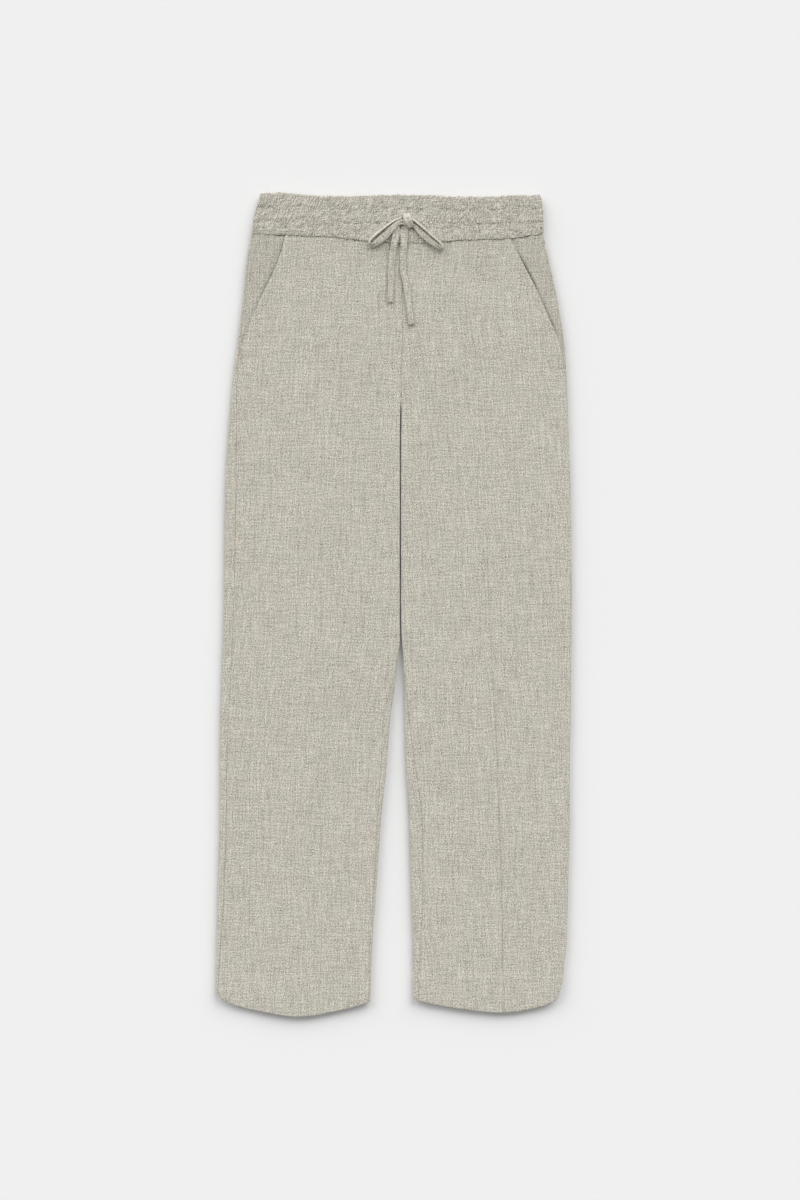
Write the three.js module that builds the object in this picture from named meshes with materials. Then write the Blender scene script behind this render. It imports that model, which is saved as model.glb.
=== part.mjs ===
// Wide-leg lounge trousers, laid flat on a table with the front up.
//
// Millimetres. +Z is up from the table, +Y runs from the hems to the waist and +X is the wearer's left.
// The origin is the middle of the underside. "Down" is always measured from the top of the waistband, and
// "across" from the centre seam, so a table row reads as a tailor would chalk it.

import * as THREE from 'three';
import { mergeVertices } from 'three/addons/utils/BufferGeometryUtils.js';

// ---------------------------------------------------------------- driving dimensions

const LENGTH = 1060; // top of the waistband to the lowest point of the hem
const CENTRE_X = 10.9; // the centre seam lies this far to the wearer's left of the origin

const CLOTH = 1.2; // wall of a leg panel
const LEG_HEIGHT = 6; // front and back of a leg lying on each other
const BAND_WALL = 3; // casing, elastic and casing
const BAND_HEIGHT = 7.75; // both walls of the waistband and the space between them
const SEAM_GAP = 0.3; // between any two pieces

const WAIST_SEAM_SIDE = 54; // down, at the side seams
const WAIST_SEAM_DIP = 11; // how much lower the seam lies at the centre
const BAND_TOP_DIP = 4; // how much lower the waistband's top edge lies at the centre
const WAIST_REACH = 182; // across, from the centre seam to the side of the waist

const CREVICE_TOP = 250; // down, where the centre seams start to sink between the legs
const CROTCH = 319; // down, where the four panels meet

const CREASE_HALF = 9; // half the width of a pressed crease's ridge
const CREASE_BACK = 0.25; // share of the ridge's height that its underside follows
const HEM_LEVEL = 1045; // down, the level that the hem curves around
const HEM_BLEND = 90; // height over which the rows bend to follow the hem
const WAIST_BLEND = 85; // height over which the rows bend to follow the waist seam

// ---------------------------------------------------------------- tables

// outer and inner: from the centre seam to the leg's two edges. side and inseam: how far the seams lie
// along the cloth from those edges, up over the front; a negative one has slipped under.
const LEG_COLUMNS = ['down', 'outer', 'inner', 'side', 'inseam'];

const RIGHT_LEG = table(LEG_COLUMNS, [
  [54, 194.6, 0, 3.5, 0],
  [88, 200.0, 0, 3.5, 0],
  [140, 205.2, 0, 3.5, 0],
  [190, 211.5, 0, 4.3, 0],
  [242, 218.0, 0, 7.2, 0],
  [319, 224.4, 0, 12.7, 0],
  [396, 228.2, 0, 15.8, 0],
  [524, 229.5, 0, 14.6, 0],
  [580, 230.9, 0.3, 14.0, 1.5],
  [628, 232.5, 7.0, 13.5, 5.0],
  [678, 234.0, 14.8, 12.0, 10.5],
  [730, 234.6, 19.8, 10.7, 9.0],
  [807, 234.8, 27.4, 10.2, 6.5],
  [884, 236.6, 32.7, 9.5, 5.0],
  [961, 238.5, 38.4, 7.0, 4.5],
  [1045, 239.7, 41.7, 4.0, 4.0],
]);

const LEFT_LEG = table(LEG_COLUMNS, [
  [54, 181.0, 0, 3.5, 0],
  [88, 188.5, 0, 3.5, 0],
  [140, 199.8, 0, 3.5, 0],
  [190, 207.6, 0, 3.0, 0],
  [242, 211.4, 0, -1.0, 0],
  [319, 214.0, 0, -2.5, 0],
  [396, 216.5, 0, -2.5, 0],
  [524, 217.9, 0, -2.5, 0],
  [580, 217.5, 0.1, -2.5, 0.5],
  [628, 216.9, 0.6, -2.5, 3.0],
  [678, 216.3, 2.6, -2.5, 7.0],
  [730, 215.3, 4.4, -2.5, 12.5],
  [807, 215.2, 8.4, -2.5, 18.5],
  [884, 213.3, 10.5, -2.5, 17.5],
  [961, 211.3, 13.3, -2.5, 12.0],
  [1045, 206.8, 13.6, -2.5, 8.0],
]);

// The slanted pocket: how far across the front's edge lies at each level, down to where it meets the side.
const POCKET_COLUMNS = ['down', 'across'];
const RIGHT_POCKET = table(POCKET_COLUMNS, [
  [54, 149.0],
  [141, 188.2],
  [190, 203.7],
  [208, 210.4],
]);
const LEFT_POCKET = table(POCKET_COLUMNS, [
  [54, 142.0],
  [180, 198.2],
  [226, 210.3],
]);

// The pressed crease down each front: its place across and its height.
const CREASE_COLUMNS = ['down', 'across', 'height'];
const RIGHT_CREASE = table(CREASE_COLUMNS, [
  [54, 90, 0],
  [152, 93, 0.4],
  [280, 100, 0.5],
  [441, 105, 0.5],
  [556, 109, 0.6],
  [717, 125, 0.7],
  [850, 131, 0.3],
  [1045, 136, 0.1],
]);
const LEFT_CREASE = table(CREASE_COLUMNS, [
  [54, 92, 0],
  [128, 87, 0.3],
  [248, 97, 0.5],
  [402, 106, 0.6],
  [544, 112, 0.8],
  [717, 121, 0.9],
  [890, 127, 0.8],
  [1045, 130, 0.7],
]);

// The hem's curve: how low it hangs at each distance in from the leg's outer edge.
const HEM_COLUMNS = ['inward', 'down'];
const RIGHT_HEM = table(HEM_COLUMNS, [
  [0, 1028],
  [10, 1039],
  [47, 1051],
  [105, LENGTH],
  [163, 1051],
  [198, 1041],
]);
const LEFT_HEM = table(HEM_COLUMNS, [
  [0, 1006],
  [2, 1020],
  [9, 1037],
  [29, 1047],
  [83, 1055],
  [124, 1051],
  [184, 1040],
  [194, 1036],
]);

// The waistband: how far it reaches either side of the centre seam.
const BAND_SIDES = table(['down', 'left', 'right'], [
  [0, 177.0, 183.5],
  [10, 179.3, 185.7],
  [30, 180.6, 190.8],
  [WAIST_SEAM_SIDE, 181.4, 194.0],
]);

// The waistband's rows, from its top edge (0) to the waist seam (1). Two rows of stitching pinch it into
// three channels, and the gathers are deepest between them.
const BAND_ROWS = table(['share', 'bulge', 'gather'], [
  [0, -0.35, 0.10],
  [0.16, 0.20, 0.22],
  [0.33, -0.35, 0.10],
  [0.5, 0.25, 0.25],
  [0.68, -0.45, 0.08],
  [0.84, 0.20, 0.22],
  [1, -0.45, 0.05],
]);
const BAND_COLUMNS = 44; // across the front of the waistband, two to each gather
const GATHER_UNEVEN = 0.5; // how much deeper or shallower than the rest a gather may be
const GATHER_BEAT = 1.7; // how fast that changes from one column to the next, in radians
const BAND_SIDE_SEAM = 3.5; // along the cloth from the waistband's edge, up over the front
const BAND_SEAM_GAP = 0.8; // at the outer face there, because the thick wall closes it towards the inside

// Levels at which the leg panels get a row of corners.
const LEG_ROWS = [
  54, 84, 113, 141, 166, 186, 202, 208, 220, 226, 250, 284, 319, 396, 460, 524, 580, 628, 678, 730,
  807, 884, 961, 1012, HEM_LEVEL,
];
const FACING_REACH = 25; // how far the pocket facing runs on under the front
// Across the facing: share of the pocket's mouth, share of its reach under the front, and share of its depth.
const FACING_SECTION = table(['mouth', 'under', 'depth'], [
  [0, 0, 0],
  [0.35, 0, 0.5],
  [0.7, 0, 1],
  [1, 0.4, 1],
  [1, 1, 1],
]);
const LEAST_STEP = 0.35; // corners of a row that lie closer than this fall together

// The drawstring is a flat self-fabric tie, knotted in a bow at the centre front.
const TIE_WIDTH = 8;
const TIE_THICKNESS = 2;
const TIE_EDGE = 1; // thickness left at the softened edges
const TIE_SOFTENED = 0.6; // width of each softened edge
const TIE_STEPS = 3; // between two points of its route
const ON_BAND = 8.7; // underside of a stretch that lies on the waistband
const ON_PANEL = 6.4; // underside of a stretch that lies on a leg panel
const SETTLING = 6.9; // underside just after it steps down on to the panel
const KNOT = { across: 6.2, down: 37.7, width: 13, length: 18, height: 6.6, sides: 10, rings: 6 };

const WELD = 1e-3; // corners closer than this are one
const LINEN = { color: '#beb9ae', roughness: 0.9 };
const LINEN_SHADE = { color: '#b8b4a8', roughness: 0.92 };

// ---------------------------------------------------------------- small helpers

function table(columns, rows) {
  return rows.map((row) => Object.fromEntries(columns.map((name, i) => [name, row[i]])));
}

// Reads one column of a table at any value of its first, with a smooth curve that never overshoots its rows.
function read(rows, by, name, at) {
  const last = rows.length - 1;
  if (at <= rows[0][by]) return rows[0][name];
  if (at >= rows[last][by]) return rows[last][name];
  const i = rows.findIndex((row) => row[by] > at) - 1;
  const step = (k) => rows[k + 1][by] - rows[k][by];
  const slope = (k) => (rows[k + 1][name] - rows[k][name]) / step(k);
  const bend = (k) => {
    if (k <= 0 || k >= last) return slope(Math.min(k, last - 1));
    const [before, after] = [slope(k - 1), slope(k)];
    return before * after <= 0 ? 0 : (2 * before * after) / (before + after);
  };
  const t = (at - rows[i][by]) / step(i);
  const rise = rows[i + 1][name] - rows[i][name];
  const [startBend, endBend] = [bend(i) * step(i), bend(i + 1) * step(i)];
  return rows[i][name] + t * (startBend + t * (3 * rise - 2 * startBend - endBend
    + t * (startBend + endBend - 2 * rise)));
}

function smooth(from, to, at) {
  return THREE.MathUtils.smoothstep(at, from, to);
}

// The waistband's top edge and the waist seam both dip towards the centre.
const dip = (across) => 1 - Math.min(1, Math.abs(across / WAIST_REACH)) ** 2;
const topOf = (across) => BAND_TOP_DIP * dip(across);
const waistSeam = (across) => WAIST_SEAM_SIDE + WAIST_SEAM_DIP * dip(across);

// ---------------------------------------------------------------- the flat tube

// One level across a flat tube of cloth with rounded edges. Its outer face is walked from the outer edge: a
// positive place runs up over the top and a negative one underneath, and past the inner edge a negative
// place comes round on to the top again. `turn` is how far the inner edge has curled over, a quarter turn
// for a leg.
function flatTube(width, height, turn) {
  const radius = height / 2;
  const quarter = (radius * Math.PI) / 2;
  const flatEnd = width - radius * Math.sin(turn);
  const turnStart = quarter + flatEnd - radius;
  const reach = turnStart + radius * turn;

  const over = (place) => {
    if (place < quarter) {
      const a = place / radius;
      return {
        inward: radius * (1 - Math.cos(a)),
        z: radius * (1 + Math.sin(a)),
        n: [Math.cos(a), -Math.sin(a)],
      };
    }
    if (place <= turnStart) return { inward: radius + place - quarter, z: height, n: [0, -1] };
    const a = (place - turnStart) / radius;
    return {
      inward: flatEnd + radius * Math.sin(a),
      z: height - radius * (1 - Math.cos(a)),
      n: [-Math.sin(a), -Math.cos(a)],
    };
  };
  const at = (place) => {
    if (place >= 0) return { ...over(place), top: true };
    if (place < -reach) return { ...over(2 * reach + place), top: true };
    const point = over(-place);
    return { inward: point.inward, z: height - point.z, n: [point.n[0], -point.n[1]], top: false };
  };
  const placeOf = (inward) => (
    inward < radius ? radius * Math.acos(1 - inward / radius) : inward - radius + quarter);
  return { radius, quarter, turnStart, reach, at, placeOf };
}

// A row's places with those that nearly meet drawn together, so that no sliver is left between them.
function drawnTogether(places) {
  const end = places[places.length - 1];
  let previous = places[0];
  return places.map((place) => {
    if (Math.abs(place - end) < LEAST_STEP) previous = end;
    else if (Math.abs(place - previous) >= LEAST_STEP) previous = place;
    return previous;
  });
}

// A wall from a grid of corners, each with its outer and inner face. Corners that fall together are welded
// and the empty triangles between them are dropped, and the faces are turned to point out.
function wall(grid) {
  const rows = grid.length;
  const columns = grid[0].length;
  const corners = grid.flat().flatMap((corner) => [corner.outer, corner.inner]);
  const index = (row, column, inner) => 2 * (row * columns + column) + inner;
  const faces = [];
  const quad = (a, b, c, d) => faces.push([a, b, c], [a, c, d]);
  for (let r = 0; r + 1 < rows; r += 1) {
    for (let c = 0; c + 1 < columns; c += 1) {
      quad(index(r, c, 0), index(r + 1, c, 0), index(r + 1, c + 1, 0), index(r, c + 1, 0));
      quad(index(r, c, 1), index(r, c + 1, 1), index(r + 1, c + 1, 1), index(r + 1, c, 1));
    }
    const end = columns - 1;
    quad(index(r, 0, 0), index(r, 0, 1), index(r + 1, 0, 1), index(r + 1, 0, 0));
    quad(index(r, end, 0), index(r + 1, end, 0), index(r + 1, end, 1), index(r, end, 1));
  }
  for (let c = 0; c + 1 < columns; c += 1) {
    const end = rows - 1;
    quad(index(0, c, 0), index(0, c + 1, 0), index(0, c + 1, 1), index(0, c, 1));
    quad(index(end, c, 0), index(end, c, 1), index(end, c + 1, 1), index(end, c + 1, 0));
  }
  const loose = new THREE.BufferGeometry();
  loose.setAttribute('position', new THREE.Float32BufferAttribute(corners.flat(), 3));
  loose.setIndex(faces.flat());
  return turnedOut(mergeVertices(loose, WELD));
}

function turnedOut(geometry) {
  const position = geometry.getAttribute('position');
  const all = geometry.getIndex().array;
  const [a, b, c] = [new THREE.Vector3(), new THREE.Vector3(), new THREE.Vector3()];
  const kept = [];
  let volume = 0;
  for (let i = 0; i < all.length; i += 3) {
    const face = [all[i], all[i + 1], all[i + 2]];
    if (new Set(face).size < 3) continue;
    kept.push(face);
    a.fromBufferAttribute(position, face[0]);
    b.fromBufferAttribute(position, face[1]);
    c.fromBufferAttribute(position, face[2]);
    volume += a.dot(b.cross(c));
  }
  geometry.setIndex(kept.flatMap((face) => (volume < 0 ? face.reverse() : face)));
  geometry.computeVertexNormals();
  return geometry;
}

function piece(name, geometry, finish) {
  const mesh = new THREE.Mesh(geometry, new THREE.MeshStandardMaterial({ ...finish, metalness: 0 }));
  mesh.name = name;
  return mesh;
}

// ---------------------------------------------------------------- the legs

// Everything about one side of the garment: +1 is the wearer's left.
const LEFT = { sign: 1, leg: LEFT_LEG, pocket: LEFT_POCKET, crease: LEFT_CREASE, hem: LEFT_HEM };
const RIGHT = { sign: -1, leg: RIGHT_LEG, pocket: RIGHT_POCKET, crease: RIGHT_CREASE, hem: RIGHT_HEM };

// The tube at one level of one side, and where its pieces start and end along its face.
function legLevel(side, down) {
  const measure = (name) => read(side.leg, 'down', name, down);
  const outer = measure('outer');
  const inner = Math.max(measure('inner'), down >= CROTCH ? SEAM_GAP / 2 : 0);
  const turn = (Math.PI / 2) * smooth(CREVICE_TOP, CROTCH, down);
  const tube = flatTube(outer - inner, LEG_HEIGHT, turn);
  const sideSeam = measure('side');
  const pocketEnd = side.pocket[side.pocket.length - 1].down;
  const pocketEdge = tube.placeOf(outer - read(side.pocket, 'down', 'across', down));
  return {
    down,
    outer,
    tube,
    sideSeam,
    frontEdge: down < pocketEnd ? Math.max(sideSeam, pocketEdge) : sideSeam,
    inseam: measure('inseam'),
    crease: tube.placeOf(outer - read(side.crease, 'down', 'across', down)),
    creaseHeight: read(side.crease, 'down', 'height', down),
  };
}

// How far down a point really lies: rows bend to the waist seam above and to the hem below.
function bentDown(side, level, inward) {
  const across = level.outer - inward;
  const toWaist = 1 - smooth(WAIST_SEAM_SIDE, WAIST_SEAM_SIDE + WAIST_BLEND, level.down);
  const toHem = smooth(HEM_LEVEL - HEM_BLEND, HEM_LEVEL, level.down);
  const seam = waistSeam(across) + SEAM_GAP / 2;
  const hem = read(side.hem, 'inward', 'down', inward);
  return level.down + toWaist * (seam - WAIST_SEAM_SIDE) + toHem * (hem - HEM_LEVEL);
}

// One corner of a panel: its outer face may be lifted, and it may lie some depth under the tube's face.
function corner(side, level, place, { lift = 0, depth = 0 } = {}) {
  const point = level.tube.at(place);
  const y = LENGTH / 2 - bentDown(side, level, point.inward);
  const at = (along) => [
    CENTRE_X + side.sign * (level.outer - point.inward - along * point.n[0]),
    y,
    point.z + along * point.n[1],
  ];
  return { outer: at(depth - lift), inner: at(depth + CLOTH - lift * CREASE_BACK) };
}

function frontPanel(side) {
  return wall(LEG_ROWS.map((down) => {
    const level = legLevel(side, down);
    const { quarter, turnStart, reach } = level.tube;
    const start = level.frontEdge + (level.frontEdge > level.sideSeam ? 0 : SEAM_GAP / 2);
    const end = reach - level.inseam - SEAM_GAP / 2;
    const flat = Math.max(start, quarter);
    const flatEnd = Math.min(turnStart, end);
    const [before, after] = [level.crease - CREASE_HALF, level.crease + CREASE_HALF];
    const places = [
      start,
      ...[-1, 0, 1, 2, 3].map((k) => Math.max(start, (quarter * k) / 3)),
      ...[1, 2].map((k) => flat + ((before - flat) * k) / 3),
      before,
      level.crease,
      after,
      ...[1, 2].map((k) => after + ((flatEnd - after) * k) / 3),
      ...[0, 1, 2, 3].map((k) => flatEnd + ((end - flatEnd) * k) / 3),
    ];
    return drawnTogether(places).map((place) => corner(side, level, place, {
      lift: place === level.crease ? level.creaseHeight : 0,
    }));
  }));
}

function backPanel(side) {
  return wall(LEG_ROWS.map((down) => {
    const level = legLevel(side, down);
    const { quarter, turnStart, reach } = level.tube;
    const start = level.sideSeam - SEAM_GAP / 2;
    const end = SEAM_GAP / 2 - reach - level.inseam; // below the crotch it comes round on to the top
    const places = [
      start,
      ...[3, 2, 1, 0, -1, -2, -3].map((k) => Math.min(start, (quarter * k) / 3)),
      ...[1, 2, 3, 4].map((k) => -quarter - ((turnStart - quarter) * k) / 5),
      ...[0, 1, 2, 3].map((k) => Math.max(end, -turnStart - ((reach - turnStart) * k) / 3)),
      ...[1, 2, 3].map((k) => Math.max(end, -reach - (quarter * k) / 3)),
      end,
    ];
    return drawnTogether(places).map((place) => corner(side, level, place));
  }));
}

// The side piece that shows in the pocket's mouth. It is sewn into the side seam and runs on under the front.
function pocketFacing(side) {
  const pocketEnd = side.pocket[side.pocket.length - 1].down;
  return wall(LEG_ROWS.filter((down) => down < pocketEnd).map((down) => {
    const level = legLevel(side, down);
    const start = level.sideSeam + SEAM_GAP / 2;
    const mouth = level.frontEdge - start;
    const reach = FACING_REACH * (1 - down / (2 * pocketEnd));
    return FACING_SECTION.map((at) => corner(side, level, start + mouth * at.mouth + reach * at.under, {
      depth: (CLOTH + SEAM_GAP) * at.depth,
    }));
  }));
}

// ---------------------------------------------------------------- the waistband

function bandLevel(share) {
  const down = WAIST_SEAM_SIDE * share;
  const left = read(BAND_SIDES, 'down', 'left', down);
  const right = read(BAND_SIDES, 'down', 'right', down);
  return { share, left, tube: flatTube(left + right, BAND_HEIGHT, Math.PI / 2) };
}

function bandCorner(level, place, lift = 0) {
  const point = level.tube.at(place);
  const across = level.left - point.inward;
  const top = topOf(across);
  const down = top + (waistSeam(across) - SEAM_GAP / 2 - top) * level.share;
  const at = (along) => [
    CENTRE_X + across - along * point.n[0],
    LENGTH / 2 - down,
    point.z + along * point.n[1],
  ];
  return { outer: at(-lift), inner: at(BAND_WALL) };
}

function waistbandFront() {
  return wall(BAND_ROWS.map(({ share, bulge, gather }) => {
    const level = bandLevel(share);
    const { quarter, turnStart, reach } = level.tube;
    const seam = BAND_SIDE_SEAM + BAND_SEAM_GAP / 2;
    const corners = [bandCorner(level, seam), bandCorner(level, quarter)];
    for (let k = 1; k < BAND_COLUMNS; k += 1) {
      const fold = (k % 2 ? 1 : -1) * (1 + GATHER_UNEVEN * Math.cos(k * GATHER_BEAT));
      const place = quarter + ((turnStart - quarter) * k) / BAND_COLUMNS;
      corners.push(bandCorner(level, place, bulge + gather * fold));
    }
    corners.push(bandCorner(level, turnStart), bandCorner(level, reach - seam));
    return corners;
  }));
}

function waistbandBack() {
  return wall(BAND_ROWS.map(({ share }) => {
    const level = bandLevel(share);
    const { quarter, turnStart, reach } = level.tube;
    const seam = BAND_SIDE_SEAM - BAND_SEAM_GAP / 2;
    const turn = [1, 0, -1, -2, -3].map((k) => (quarter * k) / 3);
    const places = [
      seam,
      ...turn,
      ...[1, 2, 3, 4, 5, 6, 7].map((k) => -quarter - ((turnStart - quarter) * k) / 8),
      ...turn.toReversed().map((place) => -reach - place),
      -reach - seam,
    ];
    return places.map((place) => bandCorner(level, place));
  }));
}

// ---------------------------------------------------------------- the drawstring

// Each row is a point that the middle of the tie passes through. `underside` is the height of what it lies
// over. `roll` is how far, in degrees, it has rolled up on to one edge, leaning into the loop, and `share` is
// how much of its width is left where the knot gathers it.
const TIE_COLUMNS = ['across', 'down', 'underside', 'roll', 'share'];

const RIGHT_LOOP = table(TIE_COLUMNS, [
  [-1.8, 33.2, ON_BAND, 82, 0.65],
  [-9.7, 36.4, ON_BAND, 80, 0.85],
  [-18.6, 42.0, ON_BAND, 76, 1],
  [-28.8, 49.6, ON_BAND, 70, 1],
  [-37.6, 57.2, ON_BAND, 62, 1],
  [-41.8, 62.6, ON_BAND, 54, 1],
  [-41.9, 66.4, ON_BAND, 44, 1],
  [-37.8, 67.4, ON_BAND, 32, 1],
  [-31.0, 63.6, ON_BAND, 20, 1],
  [-22.0, 55.2, ON_BAND, 12, 1],
  [-13.0, 46.2, ON_BAND, 8, 0.9],
  [-3.4, 39.6, ON_BAND, 4, 0.65],
]);
const LEFT_LOOP = table(TIE_COLUMNS, [
  [13.4, 34.0, ON_BAND, 82, 0.65],
  [19.0, 38.4, ON_BAND, 80, 0.85],
  [26.6, 46.2, ON_BAND, 78, 1],
  [37.6, 56.6, ON_BAND, 72, 1],
  [45.8, 64.4, ON_BAND, 64, 1],
  [50.2, 69.4, ON_BAND, 54, 1],
  [49.6, 72.8, ON_BAND, 40, 1],
  [43.6, 71.4, ON_BAND, 24, 1],
  [34.0, 62.2, ON_BAND, 12, 1],
  [24.4, 52.6, ON_BAND, 8, 1],
  [17.4, 45.2, ON_BAND, 5, 0.85],
  [13.6, 41.4, ON_BAND, 4, 0.65],
]);
const RIGHT_TAIL = table(TIE_COLUMNS, [
  [1.4, 48.4, ON_BAND, 0, 0.7],
  [-5.2, 57.0, ON_BAND, 0, 0.9],
  [-9.6, 66.0, ON_BAND, 0, 1],
  [-12.2, 77.0, SETTLING, 0, 1],
  [-13.8, 90.0, ON_PANEL, 0, 1],
  [-14.7, 106.0, ON_PANEL, 0, 1],
  [-14.9, 128.0, ON_PANEL, 0, 1],
  [-15.5, 142.0, ON_PANEL, 0, 1],
]);
const LEFT_TAIL = table(TIE_COLUMNS, [
  [9.6, 48.4, ON_BAND, 0, 0.7],
  [5.0, 57.0, ON_BAND, 0, 0.9],
  [2.2, 66.8, ON_BAND, 0, 1],
  [0.8, 77.0, SETTLING, 0, 1],
  [0.6, 90.0, ON_PANEL, 0, 1],
  [1.0, 102.0, ON_PANEL, 0, 1],
  [3.4, 112.0, ON_PANEL, 0, 1],
  [5.6, 124.0, ON_PANEL, 0, 1],
  [7.6, 142.6, ON_PANEL, 0, 1],
  [11.6, 171.0, ON_PANEL, 0, 1],
]);

// A flat tie with softened edges along a route. `inside` is +1 where a loop's inside lies to the left of the
// route and -1 where it lies to the right.
function tie(route, inside = 1) {
  const rolls = route.map(({ roll }) => THREE.MathUtils.degToRad(roll));
  const points = route.map(({ across, down, underside, share }, i) => new THREE.Vector3(
    CENTRE_X + across,
    LENGTH / 2 - down,
    underside + (share * TIE_WIDTH * Math.sin(rolls[i]) + TIE_THICKNESS * Math.cos(rolls[i])) / 2,
  ));
  const curve = new THREE.CatmullRomCurve3(points, false, 'centripetal');
  const steps = TIE_STEPS * (route.length - 1);
  const up = new THREE.Vector3(0, 0, inside);
  return wall(Array.from({ length: steps + 1 }, (_, i) => {
    const row = Math.min(Math.floor(i / TIE_STEPS), route.length - 2);
    const between = (values) => THREE.MathUtils.lerp(values[row], values[row + 1], i / TIE_STEPS - row);
    const edge = (between(route.map(({ share }) => share)) * TIE_WIDTH) / 2;
    const along = curve.getTangent(i / steps);
    const level = up.clone().cross(along).normalize().applyAxisAngle(along, inside * between(rolls));
    const normal = along.clone().cross(level).normalize();
    const section = [
      [-edge, TIE_EDGE / 2],
      [TIE_SOFTENED - edge, TIE_THICKNESS / 2],
      [edge - TIE_SOFTENED, TIE_THICKNESS / 2],
      [edge, TIE_EDGE / 2],
    ];
    return section.map(([across, half]) => {
      const middle = curve.getPoint(i / steps).addScaledVector(level, across);
      return {
        outer: middle.clone().addScaledVector(normal, half).toArray(),
        inner: middle.clone().addScaledVector(normal, -half).toArray(),
      };
    });
  }));
}

function bowKnot() {
  const knot = new THREE.SphereGeometry(0.5, KNOT.sides, KNOT.rings);
  knot.rotateX(Math.PI / 2);
  knot.scale(KNOT.width, KNOT.length, KNOT.height);
  knot.translate(
    CENTRE_X + KNOT.across,
    LENGTH / 2 - KNOT.down,
    ON_BAND + KNOT.height / 2,
  );
  return knot;
}

// ---------------------------------------------------------------- the garment

const trousers = new THREE.Group();
trousers.name = 'trousers';

const legs = new THREE.Group();
for (const [name, side] of [['left', LEFT], ['right', RIGHT]]) {
  legs.add(
    piece(`front_${name}`, frontPanel(side), LINEN),
    piece(`back_${name}`, backPanel(side), LINEN_SHADE),
    piece(`pocket_facing_${name}`, pocketFacing(side), LINEN_SHADE),
  );
}

const waistband = new THREE.Group();
waistband.add(
  piece('waistband_front', waistbandFront(), LINEN_SHADE),
  piece('waistband_back', waistbandBack(), LINEN_SHADE),
);

const drawstring = new THREE.Group();
drawstring.add(
  piece('drawstring_knot', bowKnot(), LINEN),
  piece('drawstring_loop_right', tie(RIGHT_LOOP), LINEN),
  piece('drawstring_loop_left', tie(LEFT_LOOP, -1), LINEN),
  piece('drawstring_tail_right', tie(RIGHT_TAIL), LINEN),
  piece('drawstring_tail_left', tie(LEFT_TAIL), LINEN),
);

trousers.add(legs, waistband, drawstring);

export default trousers;
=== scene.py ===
"""Wide-leg lounge trousers, laid flat on a table with the front up.

Every length is in metres. +X is the wearer's left, +Y runs from the hems to the waist and +Z is up. "Down" is
measured from the top of the waistband, "across" from the centre seam, and a "place" runs along the cloth.
"""

import math
from bisect import bisect_right
from collections import namedtuple

import bmesh
import bpy
from bpy.props import FloatProperty, FloatVectorProperty, IntProperty, PointerProperty
from mathutils import Matrix, Vector, noise


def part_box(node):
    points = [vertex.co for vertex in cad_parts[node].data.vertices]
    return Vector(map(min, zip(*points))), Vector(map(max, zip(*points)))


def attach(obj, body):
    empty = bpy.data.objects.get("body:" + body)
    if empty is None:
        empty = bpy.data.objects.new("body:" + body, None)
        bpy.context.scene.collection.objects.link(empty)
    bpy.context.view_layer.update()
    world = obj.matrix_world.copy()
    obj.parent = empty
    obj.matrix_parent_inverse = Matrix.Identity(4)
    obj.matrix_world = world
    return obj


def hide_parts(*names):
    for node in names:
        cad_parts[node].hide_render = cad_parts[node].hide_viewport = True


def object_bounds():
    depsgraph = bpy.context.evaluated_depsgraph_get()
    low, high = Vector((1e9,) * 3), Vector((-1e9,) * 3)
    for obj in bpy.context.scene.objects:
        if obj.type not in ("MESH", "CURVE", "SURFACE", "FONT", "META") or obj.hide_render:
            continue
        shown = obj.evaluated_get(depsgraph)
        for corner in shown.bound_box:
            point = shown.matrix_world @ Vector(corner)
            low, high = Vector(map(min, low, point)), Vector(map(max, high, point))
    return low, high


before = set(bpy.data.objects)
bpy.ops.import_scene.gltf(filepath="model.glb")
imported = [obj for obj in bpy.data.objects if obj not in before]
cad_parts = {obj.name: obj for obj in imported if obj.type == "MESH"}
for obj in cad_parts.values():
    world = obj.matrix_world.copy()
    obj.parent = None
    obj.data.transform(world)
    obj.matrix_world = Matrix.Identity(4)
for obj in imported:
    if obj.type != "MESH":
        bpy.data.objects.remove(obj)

bl_info = {
    "name": "Wide-leg lounge trousers",
    "version": (1, 0, 0),
    "blender": (4, 5, 0),
    "location": "3D View > Sidebar > Trousers",
    "description": "Trousers laid flat, with a gathered waistband, slanted pockets and a drawstring bow",
    "category": "Object",
}

# ---------------------------------------------------------------- sizes

CAD_LOW, CAD_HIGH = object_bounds()
TOP = CAD_HIGH.y
LENGTH = CAD_HIGH.y - CAD_LOW.y
CENTRE_X = (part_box("front_left")[0].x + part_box("front_right")[1].x) / 2
LEG_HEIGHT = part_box("back_right")[1].z
BAND_HEIGHT = 0.0073
BAND_WALL = 0.003

WAIST = 0.054  # down to the waist seam, at the side seams
CREVICE_TOP = 0.246  # down to where the legs start to part
CREVICE_GAP = 0.0013
CROTCH = 0.319
HEM_LEVEL = 1.045
HEM_BLEND = 0.090  # the length of leg that takes up the hem's curve
WAIST_BLEND = 0.085  # the same for the waist seam's
BAND_SIDE_SEAM = 0.0035

SEWN_GAP = 0.0001  # between two pieces that are sewn together
SEAM_ROLL = 0.0007  # radius that a seam's edges turn in with
FLAT_ROLL = 0.0003  # the same at the upper centre seam, which is pressed flat
WAIST_ROLL = 0.00035
HIDDEN_EDGE = 0.0006  # cloth of a turned edge that runs on out of sight
WAIST_HIDDEN_EDGE = 0.0015
HEM_ROLL = 0.0006
HEM_DEPTH = 0.034
MOUTH_ROLL = 0.00035
MOUTH_DEPTH = 0.012  # how far the pocket mouth's edge is folded back
MOUTH_REST = 0.001  # how far a mouth can open without lifting the front
MOUTH_LIFT = 0.35  # the front's share of a wider opening
MOUTH_SINK = 0.65  # the side piece's share of it

STITCH_ROWS = (0.0178, 0.0358)  # below the waistband's top edge

# ---------------------------------------------------------------- tables


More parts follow.
